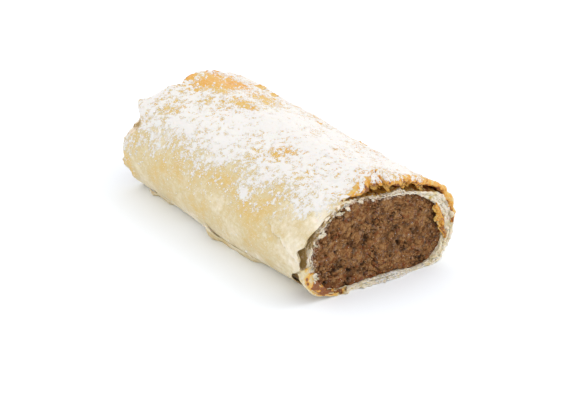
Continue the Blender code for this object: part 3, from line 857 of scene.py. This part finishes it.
@sheets(22, 16, numbered(SHREDS))
def pocket_shreds(u, v, number, middle, half_width, drop, lean):
    """The browned shreds that hang from the crust in the mouth of the pocket."""
    side = 2.0 * u - 1.0
    frayed = 1.0 + 0.35 * wave(0.02 * v, 90.0 * side, 0.0040, 159.0 + number)
    angle = middle + half_width * side * (1.0 - 0.45 * v * v) * frayed + lean * v
    long = (drop + 0.0006) * v * (1.0 + 0.35 * wave(0.012 * u, 0.0, 0.0030, 165.0 + number))
    curl = 0.0011 * v * math.cos(1.6 * side + number) + 0.0008 * wave(0.01 * u, 130.0 * v, 0.0024, number)
    x = crust_near_edge(angle) - SHRED_SETBACK + curl
    dent = 0.0005 * wave(0.012 * u, 90.0 * v, 0.0016, 161.0 + number)
    place = on_roll(x, angle, crust_radius(x, middle) - SHRED_SETBACK - long + dent)
    browned = 0.58 + 0.24 * wave(0.01 * u, 60.0 * v, 0.0020, 163.0 + number)
    return place, browned, 0.0, 1.0 - 0.4 * v


@sheets(64, 22)
def inner_flake(u, v):
    """The browned end of an inner sheet, turned out over the edge of the filling."""
    angle = blend(*FLAKE_ANGLES, u)
    width = FLAKE_WIDTH * (math.sin(math.pi * (0.12 + 0.80 * u)) + 0.11 * math.sin(19.0 * u))
    width *= 1.0 + 0.30 * wave(u * 0.02, 0.0, 0.0016, 171.0)
    crumple = 0.35 * FLAKE_REACH * v * math.sin(11.0 * u + 5.0 * v)
    crumple += waves(u * 0.02, 60.0 * v, (0.0009 * v, 0.0022, 173.0), (0.0004, 0.0009, 177.0))
    x = NEAR_FACE + FLAKE_REACH * (2.0 * smooth(1.8 * v) - 1.0) + crumple
    browned = 0.66 + 0.24 * wave(u * 0.02, 80.0 * v, 0.0030, 175.0) - 0.12 * smooth(4.0 * v - 3.0)
    return on_roll(x, angle, ring(FILLING_RADII, angle) + FLAKE_ROOT - width * v), browned, 0.0, 1.0


@sheets(34, 12, numbered(BACK_FLAKES))
def back_flakes(u, v, number, middle, angle, length, height):
    """The flakes that stand up along the back shoulder."""
    x = middle + length * (u - 0.5) * (1.0 - 0.45 * v) + 0.0004 * v * wave(u * 0.01, 0.0, 0.0012, 181.0)
    turn = angle - BACK_FLAKE_WIDTH * (1.0 - v) + 2.0 * v * math.sin(math.pi * u)
    rise = height * v * (1.0 + 0.25 * wave(u * 0.012, 0.0, 0.0022, 183.0 + number))
    place = on_roll(x, turn, crust_radius(x, turn) - 0.0002 + rise)
    return place, 0.44 + 0.10 * v, 0.0, 1.0 - 0.4 * v


# ---------------------------------------------------------------- filling


def crumb_relief(place, size):
    """Height of the crumbly cut face, as a share of a crumb's height, and the painted shade that darkens its
    crevices, cracks, holes and low lumps.
    """
    bits, _ = noise.voronoi(place / size + 0.5 * noise.noise_vector(place / size))
    fine, _ = noise.voronoi(place / (0.42 * size) + Vector((7.0, 3.0, 1.0)))
    lumps = noise.noise(place / (2.3 * size) + Vector((0.0, 31.0, 0.0)))
    cracks = 1.0 - abs(noise.noise(place / (1.5 * size) + Vector((0.0, 0.0, 77.0)))) * 9.0
    rare = smooth(3.5 * noise.noise(place / CRACK_SPREAD + Vector((60.0, 0.0, 0.0))) + 0.4)
    crack = smooth(cracks) * rare
    bent = place / HOLE_WIDTH + 0.35 * noise.noise_vector(place / 0.0016) + Vector((0.0, 0.0, 57.0))
    hole = smooth((0.14 + 0.26 * noise.noise(place / HOLE_SPREAD) - noise.voronoi(bent)[0][0]) / 0.06)
    height = 0.7 - 1.3 * bits[0] - 0.6 * fine[0] + 1.5 * lumps - 1.5 * crack - 2.2 * hole
    painted_crevice_shade = smooth((bits[0] - 0.50) * 2.0) * 0.50 + smooth((fine[0] - 0.60) * 2.0) * 0.16
    return height, min(painted_crevice_shade + 0.8 * crack + hole + 0.5 * smooth(-2.4 * lumps - 0.3), 1.0)


def filling_place(end, across, up, sizes):
    """Place in the filling, from a point of a block that is 1 to each side of its middle, and the painted shade of
    its crevices.
    """
    round_across = across * math.sqrt(1.0 - up * up / 2.0)
    round_up = up * math.sqrt(1.0 - across * across / 2.0)
    angle = math.degrees(math.atan2(round_up, -round_across))
    part = min(math.hypot(round_across, round_up), 1.0)
    far = FAR_FACE + FILLING_RECESS
    near = NEAR_FACE - FILLING_RECESS
    x = blend(far, near, (end + 1.0) / 2.0)
    place = on_roll(x, angle, part * ring(FILLING_RADII, angle))
    rim = smooth((part - FILLING_ROUND_START) / (1.0 - FILLING_ROUND_START))
    if abs(end) < 0.999:
        return place, 0.4
    smear = FILLING_SMEAR * smooth((part - FILLING_SMEAR_START) / (1.0 - FILLING_SMEAR_START))
    smear *= smooth(2.0 * wave(0.0, angle, 0.0024, 281.0) + 0.5)
    place = on_roll(x, angle, part * ring(FILLING_RADII, angle) + smear * bump(angle - 50.0, 90.0))
    height, painted_crevice_shade = crumb_relief(place, sizes.crumb_size)
    place.x += end * sizes.crumb_height * (height * (1.0 - 0.4 * rim) - 0.9 * rim)
    return place, painted_crevice_shade


def ground_filling(sizes):
    """The filling: a block cut up finely and rounded to the roll's section, crumbly at both ends."""
    shape = bmesh.new()
    painted_crevice_shade, wet, film = (shape.verts.layers.float.new(name) for name in ("painted_crevice_shade", "syrup", "film"))
    bmesh.ops.create_cube(shape, size=2.0)
    for axis, cells in enumerate(FILLING_CELLS):
        along = [edge for edge in shape.edges if abs((edge.verts[1].co - edge.verts[0].co)[axis]) > 1e-4
                 and abs((edge.verts[1].co - edge.verts[0].co).normalized()[axis]) > 0.99]
        bmesh.ops.subdivide_edges(shape, edges=along, cuts=cells - 1, use_grid_fill=True)
    for vertex in shape.verts:
        block = vertex.co.copy()
        vertex.co, vertex[painted_crevice_shade] = filling_place(*block, sizes)
        rim = max(abs(block.y), abs(block.z))
        corner = bump(block.y + 0.9, 0.7) * bump(block.z + 0.9, 0.8)
        vertex[wet] = 0.45 * smooth(6.0 * rim - 5.1) + 0.75 * corner
        angle = math.degrees(math.atan2(vertex.co.z - AXIS_HEIGHT, AXIS_OFFSET - vertex.co.y))
        vertex[film] = smooth(6.0 * rim - 5.0) * bump(angle - 62.0, 118.0) ** 0.5
    return mesh_of("ground_filling", shape)


def bits_mesh(name, template, places, widths, turns, squash, tones):
    """Many copies of a small template, each turned, sized, moved to its place and given a tone."""
    corners = np.array([vertex.co for vertex in template.verts])
    faces = np.array([[vertex.index for vertex in face.verts] for face in template.faces])
    template.free()
    points = corners[None, :, :] * widths[:, None, None] * squash[:, None, :]
    points = np.einsum("nij,nkj->nki", turns, points) + np.array(places)[:, None, :]
    joined = faces[None, :, :] + (np.arange(len(places)) * len(corners))[:, None, None]
    mesh = bpy.data.meshes.new(name)
    mesh.from_pydata(points.reshape(-1, 3).tolist(), [], joined.reshape(-1, 3).tolist())
    mesh.attributes.new("tone", "FLOAT", "POINT").data.foreach_set("value", np.repeat(tones, len(corners)))
    return mesh


def lumpy_ball(subdivisions, unevenness, seed):
    """A small uneven ball that many pieces are copied from."""
    ball = bmesh.new()
    bmesh.ops.create_icosphere(ball, subdivisions=subdivisions, radius=1.0)
    for vertex in ball.verts:
        vertex.co *= 1.0 + unevenness * noise.noise(vertex.co * 1.7 + Vector((seed, 0.0, 0.0)))
    ball.verts.index_update()
    return ball


def random_turns(count, draw):
    """Evenly random rotations."""
    raw = draw.normal(size=(count, 4))
    raw /= np.linalg.norm(raw, axis=1)[:, None]
    w, x, y, z = raw.T
    return np.stack([
        1 - 2 * (y * y + z * z), 2 * (x * y - z * w), 2 * (x * z + y * w),
        2 * (x * y + z * w), 1 - 2 * (x * x + z * z), 2 * (y * z - x * w),
        2 * (x * z - y * w), 2 * (y * z + x * w), 1 - 2 * (x * x + y * y),
    ], axis=1).reshape(-1, 3, 3)


def nut_bits(sizes):
    """Pieces of chopped nut half sunk in both cut faces of the filling."""
    draw = np.random.default_rng(41)
    places = []
    for end in (1.0, -1.0):
        for across, up in draw.uniform(-0.95, 0.95, (sizes.nut_bits, 2)):
            places.append(filling_place(end, across, up, sizes)[0])
    count = len(places)
    widths = sizes.crumb_size * (0.10 + 0.22 * draw.random(count) ** 3.0)
    squash = 0.6 + 0.7 * draw.random((count, 3))
    tones = draw.random(count)
    return bits_mesh("nut_bits", lumpy_ball(1, 1.1, 5.0), places, widths, random_turns(count, draw), squash, tones)


def sugar_bits(name, count, size, subdivisions, seed, depth):
    """Sugar scattered over the crust, thickest where it fades out between bare dough and full cover."""
    draw = np.random.default_rng(seed)
    places = []
    while len(places) < count:
        x = draw.uniform(FAR_FACE - 0.003, NEAR_FACE + 0.001)
        angle = draw.uniform(-20.0, CRUST_BACK_ANGLE - 2.0)
        if not crust_far_edge(angle) + SUGAR_MARGIN < x < crust_near_edge(angle) - SUGAR_MARGIN:
            continue
        share = sugar_clumps(x, angle)
        if draw.random() < smooth(1.7 * share) * (1.0 - smooth(2.2 * share - 0.8)) + 0.012:
            places.append(crust_spot(x, angle, depth - 0.4 * size)[0])
    widths = size * (0.5 + 1.1 * draw.random(count) ** 2.0)
    squash = 0.65 + 0.5 * draw.random((count, 3))
    turns = random_turns(count, draw)
    return bits_mesh(name, lumpy_ball(subdivisions, 0.5, 9.0), places, widths, turns, squash, draw.random(count))


# ---------------------------------------------------------------- materials


def add_node(tree, kind, sockets=None, out=0, stops=None, **settings):
    """Add a shader node with its settings, link or set its sockets and place its colour stops. It gives one of the
    node's outputs, or the node itself where out is None."""
    made = tree.nodes.new("ShaderNode" + kind)
    for name, value in settings.items():
        setattr(made, name, value)
    for name, value in (sockets or {}).items():
        if isinstance(value, bpy.types.NodeSocket):
            tree.links.new(value, made.inputs[name])
        else:
            made.inputs[name].default_value = value
    for number, (position, colour) in enumerate(stops or ()):
        if number >= len(made.color_ramp.elements):
            made.color_ramp.elements.new(position)
        made.color_ramp.elements[number].position = position
        made.color_ramp.elements[number].color = (*colour, 1.0)
    return made if out is None else made.outputs[out]


def surface(make):
    """The material that a function describes, named as the function is and made when it is first asked for."""
    material = bpy.data.materials.get(make.__name__)
    if material is None:
        material = bpy.data.materials.new(make.__name__)
        material.use_nodes = True
        material.node_tree.nodes.clear()
        node = functools.partial(add_node, material.node_tree)
        node("OutputMaterial", {"Surface": make(node, bpy.context.scene.strudel_colours)}, out=None)
    return material


def baked_strudel_dough(node, colours):
    """Stretched wheat dough, buttered and baked: satin, cloudy cream to golden and brown, with fine pale fibres.
    Powdered sugar lies on it as a matt white, broken film of clumps."""
    place = node("TexCoord", out="Object")
    browned = node("Attribute", out="Fac", attribute_name="browning")
    dusted = node("Attribute", out="Fac", attribute_name="sugar")
    along = node("Mapping", {"Vector": place, "Scale": (0.22, 1.0, 1.0)})
    # Blotches 7 mm wide, mottling 1.5 mm, pores 0.5 mm and drawn-out fibres 0.7 mm across.
    blotch = node("TexNoise", {"Vector": place, "Scale": 140.0, "Detail": 3.0})
    mottle = node("TexNoise", {"Vector": place, "Scale": 640.0, "Detail": 4.0})
    pores = node("TexNoise", {"Vector": place, "Scale": 1900.0, "Detail": 2.0})
    fibres = node("TexNoise", {"Vector": along, "Scale": 1300.0, "Detail": 3.0})
    tone = browned
    for layer, weight in ((blotch, 0.34), (mottle, 0.30), (pores, 0.12)):
        tone = node("Math", {0: layer, 1: weight, 2: tone}, operation="MULTIPLY_ADD")
    tone = node("Math", {0: tone, 1: 0.14}, operation="SUBTRACT")
    finish = node("ValToRGB", {"Fac": tone}, stops=(
        (0.0, colours.stained_and_shaded_dough), (0.13, colours.damp_dough), (0.25, colours.floury_dough),
        (0.44, colours.pale_dough), (0.66, colours.golden_dough), (0.88, colours.browned_dough),
        (1.0, colours.scorched_and_shaded_dough),
    ))
    # Flour: pale fibres, specks of 0.3 mm, and creases that part the sheet every 6 mm.
    fibre = node("MapRange", {"Value": fibres, "From Min": 0.54, "From Max": 0.72, "To Max": 0.32})
    speck = node("MapRange", {"Value": pores, "From Min": 0.60, "From Max": 0.69, "To Max": 0.65})
    pulled = node("TexNoise", {"Vector": place, "Scale": 260.0}, out="Color")
    bent = node("VectorMath", {0: pulled, 1: (0.004, 0.004, 0.004), 2: place}, operation="MULTIPLY_ADD")
    creases = node("TexVoronoi", {"Vector": bent, "Scale": 160.0}, feature="DISTANCE_TO_EDGE")
    crease = node("MapRange", {"Value": creases, "From Min": 0.03, "From Max": 0.0, "To Max": 0.14})
    pale = fibre
    for layer in (speck, crease):
        pale = node("Math", {0: pale, 1: layer}, operation="MAXIMUM")
    # The flour is fried into the darkest dough and hardly shows there.
    unfried = node("MapRange", {"Value": tone, "From Min": 0.95, "From Max": 0.72, "To Min": 0.3})
    pale = node("Math", {0: pale, 1: unfried}, operation="MULTIPLY")
    # Sugar clumps about 1 mm wide, broken up by grains of 0.4 mm, over a thin film.
    clumps = node("TexNoise", {"Vector": place, "Scale": 900.0, "Detail": 3.0, "Roughness": 0.6})
    powder = node("TexNoise", {"Vector": place, "Scale": 2600.0, "Detail": 1.0})
    level = dusted
    for layer in (clumps, powder):
        level = node("Math", {0: layer, 1: 1.15, 2: level}, operation="MULTIPLY_ADD")
    sugar = node("MapRange", {"Value": level, "From Min": 1.60, "From Max": 1.70}, interpolation_type="SMOOTHSTEP")
    film = node("MapRange", {"Value": dusted, "From Min": 0.3, "From Max": 1.2, "To Max": 0.34})
    white = node("Math", {0: sugar, 1: film}, operation="MAXIMUM")
    for share, colour in ((pale, colours.flour), (white, colours.powdered_sugar)):
        finish = node("Mix", {0: share, 6: finish, 7: (*colour, 1.0)}, out=2, data_type="RGBA")
    rough = node("MapRange", {"Value": sugar, "To Min": 0.52, "To Max": 0.92})
    height = 0.0
    for layer, weight in ((mottle, 0.55), (fibres, 0.35), (white, 0.5), (crease, -0.9)):
        height = node("Math", {0: layer, 1: weight, 2: height}, operation="MULTIPLY_ADD")
    relief = node("Bump", {"Strength": 0.9, "Distance": 0.00022, "Height": height})
    return node("BsdfPrincipled", {
        "Base Color": finish, "Roughness": rough, "Normal": relief, "IOR": 1.45,
        "Subsurface Weight": 0.12, "Subsurface Radius": (1.0, 0.55, 0.25), "Subsurface Scale": 0.0012,
    })


def ground_nut_filling(node, colours):
    """Ground nuts cooked with milk and sugar: a dense, moist, crumbly brown paste with pale nut and dark skins."""
    place = node("TexCoord", out="Object")
    painted_crevice_shade = node("Attribute", out="Fac", attribute_name="painted_crevice_shade")
    syrup = node("Attribute", out="Fac", attribute_name="syrup")
    film = node("Attribute", out="Fac", attribute_name="film")
    # Lumps of paste 3 mm wide, ground nut of 0.5 mm, and now and then a chip of nut 1 mm wide.
    lumps = node("TexNoise", {"Vector": place, "Scale": 330.0, "Detail": 3.0, "Distortion": 0.6})
    paste = node("TexNoise", {"Vector": place, "Scale": 1500.0, "Detail": 4.0, "Roughness": 0.65})
    hue = node("TexNoise", {"Vector": place, "Scale": 600.0, "Detail": 2.0, "W": 4.0}, noise_dimensions="4D")
    chips = node("TexVoronoi", {"Vector": place, "Scale": 1200.0}, out=None)
    pick = node("SeparateColor", {"Color": chips.outputs["Color"]}, out=None)
    tone = -1.28
    for layer, weight in ((lumps, 1.5), (paste, 2.3)):
        tone = node("Math", {0: layer, 1: weight, 2: tone}, operation="MULTIPLY_ADD")
    body = node("ValToRGB", {"Fac": tone}, stops=(
        (0.0, colours.filling_shade), (0.26, colours.filling_skin), (0.60, colours.filling_body),
        (1.0, colours.filling_nut),
    ))
    red = node("MapRange", {"Value": hue, "From Min": 0.53, "From Max": 0.66, "To Max": 0.75})
    red = node("Math", {0: syrup, 1: 0.6, 2: red}, operation="MULTIPLY_ADD", use_clamp=True)
    chip = node("MapRange", {"Value": pick.outputs["Red"], "From Min": 0.86, "From Max": 0.90, "To Max": 0.8})
    # Now and then a painted glint: a white speck 0.2 mm wide, in the sugar's colour.
    grains = node("TexVoronoi", {"Vector": place, "Scale": 2600.0}, out=None)
    drawn = node("SeparateColor", {"Color": grains.outputs["Color"]}, out="Red")
    drawn = node("Math", {0: drawn, 1: 0.965}, operation="GREATER_THAN")
    painted_glint = node("MapRange", {"Value": grains.outputs["Distance"], "From Min": 0.34, "From Max": 0.22})
    painted_glint = node("Math", {0: painted_glint, 1: drawn}, operation="MULTIPLY")
    # Shreds of thin dough cling to its rim.
    cling = node("Math", {0: paste, 1: 2.6, 2: film}, operation="MULTIPLY_ADD")
    cling = node("MapRange", {"Value": cling, "From Min": 1.75, "From Max": 2.20, "To Max": 0.75})
    # Painted shade: crevices, cracks, holes and low lumps are darkened towards the dark filling colour.
    shade = node("Math", {0: painted_crevice_shade, 1: 0.85}, operation="MULTIPLY")
    for share, colour in (
        (red, colours.filling_syrup), (chip, colours.filling_nut), (painted_glint, colours.powdered_sugar),
        (cling, colours.damp_dough), (shade, colours.filling_shade),
    ):
        body = node("Mix", {0: share, 6: body, 7: (*colour, 1.0)}, out=2, data_type="RGBA")
    # Crumbs scatter the light dully, and specks of syrup catch it.
    moist = node("MapRange", {"Value": pick.outputs["Green"], "From Min": 0.84, "From Max": 0.88})
    rough = node("MapRange", {"Value": moist, "To Min": 0.75, "To Max": 0.20})
    gloss = node("MapRange", {"Value": moist, "To Min": 0.12, "To Max": 0.70})
    height = 0.0
    for layer, weight in ((chips.outputs["Distance"], -0.5), (paste, 1.4)):
        height = node("Math", {0: layer, 1: weight, 2: height}, operation="MULTIPLY_ADD")
    relief = node("Bump", {"Strength": 1.0, "Distance": 0.0004, "Height": height})
    return node("BsdfPrincipled", {
        "Base Color": body, "Roughness": rough, "Normal": relief, "IOR": 1.47, "Specular IOR Level": gloss,
    })


def chopped_nut(node, colours):
    """Chopped nut in syrup: small waxy bits from dark skin to pale flesh."""
    place = node("TexCoord", out="Object")
    tone = node("Attribute", out="Fac", attribute_name="tone")
    speckle = node("TexNoise", {"Vector": place, "Scale": 2600.0, "Detail": 2.0})
    mixed = node("Math", {0: speckle, 1: 0.4, 2: tone}, operation="MULTIPLY_ADD")
    body = node("ValToRGB", {"Fac": mixed}, stops=(
        (0.18, colours.filling_shade), (0.45, colours.filling_skin), (0.80, colours.filling_body),
        (1.0, colours.filling_nut),
    ))
    relief = node("Bump", {"Strength": 0.8, "Distance": 0.0001, "Height": speckle})
    return node("BsdfPrincipled", {"Base Color": body, "Roughness": 0.42, "Normal": relief, "IOR": 1.47})


def powdered_sugar(node, colours):
    """Powdered sugar in small clumps: matt, very white, slightly see-through at its edges."""
    place = node("TexCoord", out="Object")
    grit = node("TexNoise", {"Vector": place, "Scale": 6000.0, "Detail": 1.0})
    shade = node("MapRange", {"Value": grit, "To Min": 1.0, "To Max": 1.12})
    white = node("Mix", {0: 1.0, 6: (*colours.powdered_sugar, 1.0), 7: shade}, out=2, data_type="RGBA",
                 blend_type="MULTIPLY")
    relief = node("Bump", {"Strength": 0.6, "Distance": 0.00005, "Height": grit})
    return node("BsdfPrincipled", {"Base Color": white, "Roughness": 0.9, "Normal": relief, "IOR": 1.45})


def plain_tabletop(node, colours):
    """Matt white laminate, almost without grain."""
    place = node("TexCoord", out="Object")
    grain = node("TexNoise", {"Vector": place, "Scale": 900.0, "Detail": 2.0})
    rough = node("MapRange", {"Value": grain, "To Min": 0.75, "To Max": 0.85})
    return node("BsdfPrincipled", {"Base Color": (*colours.tabletop, 1.0), "Roughness": rough, "IOR": 1.45})


# ---------------------------------------------------------------- stage


def light_room(scene):
    """Even white light from all round, and one large soft lamp above and behind the roll."""
    world = bpy.data.worlds.new("white_room")
    world.use_nodes = True
    world.node_tree.nodes["Background"].inputs["Color"].default_value = (1.0, 1.0, 1.0, 1.0)
    world.node_tree.nodes["Background"].inputs["Strength"].default_value = ROOM_LIGHT
    scene.world = world
    lamp = bpy.data.lights.new("soft_lamp", "AREA")
    lamp.shape = "DISK"
    lamp.size = LAMP_WIDTH
    lamp.energy = LAMP_POWER
    holder = add_object("soft_lamp", lamp)
    holder.location = LAMP_PLACE
    holder.rotation_euler = Vector(LAMP_PLACE).to_track_quat("Z", "Y").to_euler()
    scene.view_settings.view_transform = "Standard"


def place_camera(scene):
    """A long lens at the height and angle of a tabletop picture."""
    lens = bpy.data.cameras.new("camera")
    lens.lens = CAMERA_LENS
    lens.sensor_width = 36.0
    lens.clip_start = 0.05
    lens.clip_end = 20.0
    camera = add_object("camera", lens)
    turn = Matrix.Rotation(math.radians(CAMERA_AZIMUTH), 3, "Z")
    turn @= Matrix.Rotation(math.radians(90.0 - CAMERA_ELEVATION), 3, "X")
    camera.location = Vector(CAMERA_TARGET) + turn @ Vector((0.0, CAMERA_RISE, CAMERA_DISTANCE))
    camera.rotation_euler = turn.to_euler()
    scene.camera = camera


# ---------------------------------------------------------------- operators


class STRUDEL_OT_outer_crust(bpy.types.Operator):
    """Add the outermost sheet of dough and the browned sheet inside its near end"""

    bl_idname = "strudel.outer_crust"
    bl_label = "Outer Crust"
    bl_options = {"REGISTER", "UNDO"}

    def execute(self, context):
        sizes = context.scene.strudel_sizes
        crust = add_dough("outer_crust", outer_crust(sizes), sizes.puffed_thickness)
        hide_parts("strudel_pastry")
        add_dough("under_crust", under_crust(), sizes.flake_thickness)
        return {"FINISHED"}


class STRUDEL_OT_inner_wraps(bpy.types.Operator):
    """Add the rolled inner sheets of dough that end at the two cut faces"""

    bl_idname = "strudel.inner_wraps"
    bl_label = "Inner Wraps"
    bl_options = {"REGISTER", "UNDO"}

    def execute(self, context):
        add_dough("inner_wraps", inner_wraps(), WRAP_THICKNESS)
        add_dough("under_wrap", under_wrap(), context.scene.strudel_sizes.crust_thickness)
        return {"FINISHED"}


class STRUDEL_OT_loose_dough(bpy.types.Operator):
    """Add the tongue, the lips along the foot, the torn corner, the rolled edge, the shreds and the flakes"""

    bl_idname = "strudel.loose_dough"
    bl_label = "Loose Dough"
    bl_options = {"REGISTER", "UNDO"}

    def execute(self, context):
        sizes = context.scene.strudel_sizes
        for make, thickness in (
            (tongue_fold, sizes.crust_thickness), (foot_lips, sizes.crust_thickness),
            (torn_corner, CORNER_THICKNESS), (rolled_edge, 0.0), (pocket_shreds, sizes.flake_thickness),
            (inner_flake, sizes.flake_thickness), (edge_scraps, sizes.flake_thickness),
            (back_flakes, sizes.flake_thickness),
        ):
            add_dough(make.__name__, make(), thickness)
        return {"FINISHED"}


class STRUDEL_OT_nut_filling(bpy.types.Operator):
    """Add the ground-nut filling with its crumbly cut faces and the pieces of nut in them"""

    bl_idname = "strudel.nut_filling"
    bl_label = "Nut Filling"
    bl_options = {"REGISTER", "UNDO"}

    def execute(self, context):
        sizes = context.scene.strudel_sizes
        noise.seed_set(CRUMB_SEED)
        body = add_piece("ground_filling", ground_filling(sizes), surface(ground_nut_filling))
        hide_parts("nut_filling")
        bits = add_piece("nut_bits", nut_bits(sizes), surface(chopped_nut))
        return {"FINISHED"}


class STRUDEL_OT_sugar(bpy.types.Operator):
    """Scatter clumps and grains of powdered sugar over the crust"""

    bl_idname = "strudel.sugar"
    bl_label = "Powdered Sugar"
    bl_options = {"REGISTER", "UNDO"}

    def execute(self, context):
        sizes = context.scene.strudel_sizes
        for name, count, size, subdivisions, seed in (
            ("sugar_clumps", sizes.clumps, sizes.clump_size, 2, 17),
            ("sugar_grains", sizes.grains, sizes.grain_size, 1, 19),
        ):
            bits = sugar_bits(name, count, size, subdivisions, seed, sizes.sugar_depth)
            add_piece(name, bits, surface(powdered_sugar))
        return {"FINISHED"}


class STRUDEL_OT_stage(bpy.types.Operator):
    """Add the plain table, the soft light and the camera"""

    bl_idname = "strudel.stage"
    bl_label = "Stage"
    bl_options = {"REGISTER", "UNDO"}

    def execute(self, context):
        table = bmesh.new()
        bmesh.ops.create_grid(table, x_segments=1, y_segments=1, size=TABLE_HALF_WIDTH)
        top = add_object("tabletop", mesh_of("tabletop", table))
        top.data.materials.append(surface(plain_tabletop))
        light_room(context.scene)
        place_camera(context.scene)
        return {"FINISHED"}


OPERATORS = (
    STRUDEL_OT_outer_crust,
    STRUDEL_OT_inner_wraps,
    STRUDEL_OT_loose_dough,
    STRUDEL_OT_nut_filling,
    STRUDEL_OT_sugar,
    STRUDEL_OT_stage,
)


class STRUDEL_PT_panel(bpy.types.Panel):
    """Lists the pieces of the strudel with their sizes and colours"""

    bl_label = "Nut Strudel"
    bl_idname = "STRUDEL_PT_panel"
    bl_space_type = "VIEW_3D"
    bl_region_type = "UI"
    bl_category = "Strudel"

    def draw(self, context):
        column = self.layout.column(align=True)
        for operator in OPERATORS:
            column.operator(operator.bl_idname)
        for group in (context.scene.strudel_sizes, context.scene.strudel_colours):
            column = self.layout.column(align=True)
            for name in group.__annotations__:
                column.prop(group, name)


CLASSES = (StrudelSizes, StrudelColours, *OPERATORS, STRUDEL_PT_panel)


def register():
    for one in CLASSES:
        bpy.utils.register_class(one)
    bpy.types.Scene.strudel_sizes = bpy.props.PointerProperty(type=StrudelSizes)
    bpy.types.Scene.strudel_colours = bpy.props.PointerProperty(type=StrudelColours)


def unregister():
    del bpy.types.Scene.strudel_colours
    del bpy.types.Scene.strudel_sizes
    for one in reversed(CLASSES):
        bpy.utils.unregister_class(one)


def main():
    """Add every piece of the strudel and the stage."""
    register()
    for operator in OPERATORS:
        group, name = operator.bl_idname.split(".")
        getattr(getattr(bpy.ops, group), name)()


if __name__ == "__main__":
    main()
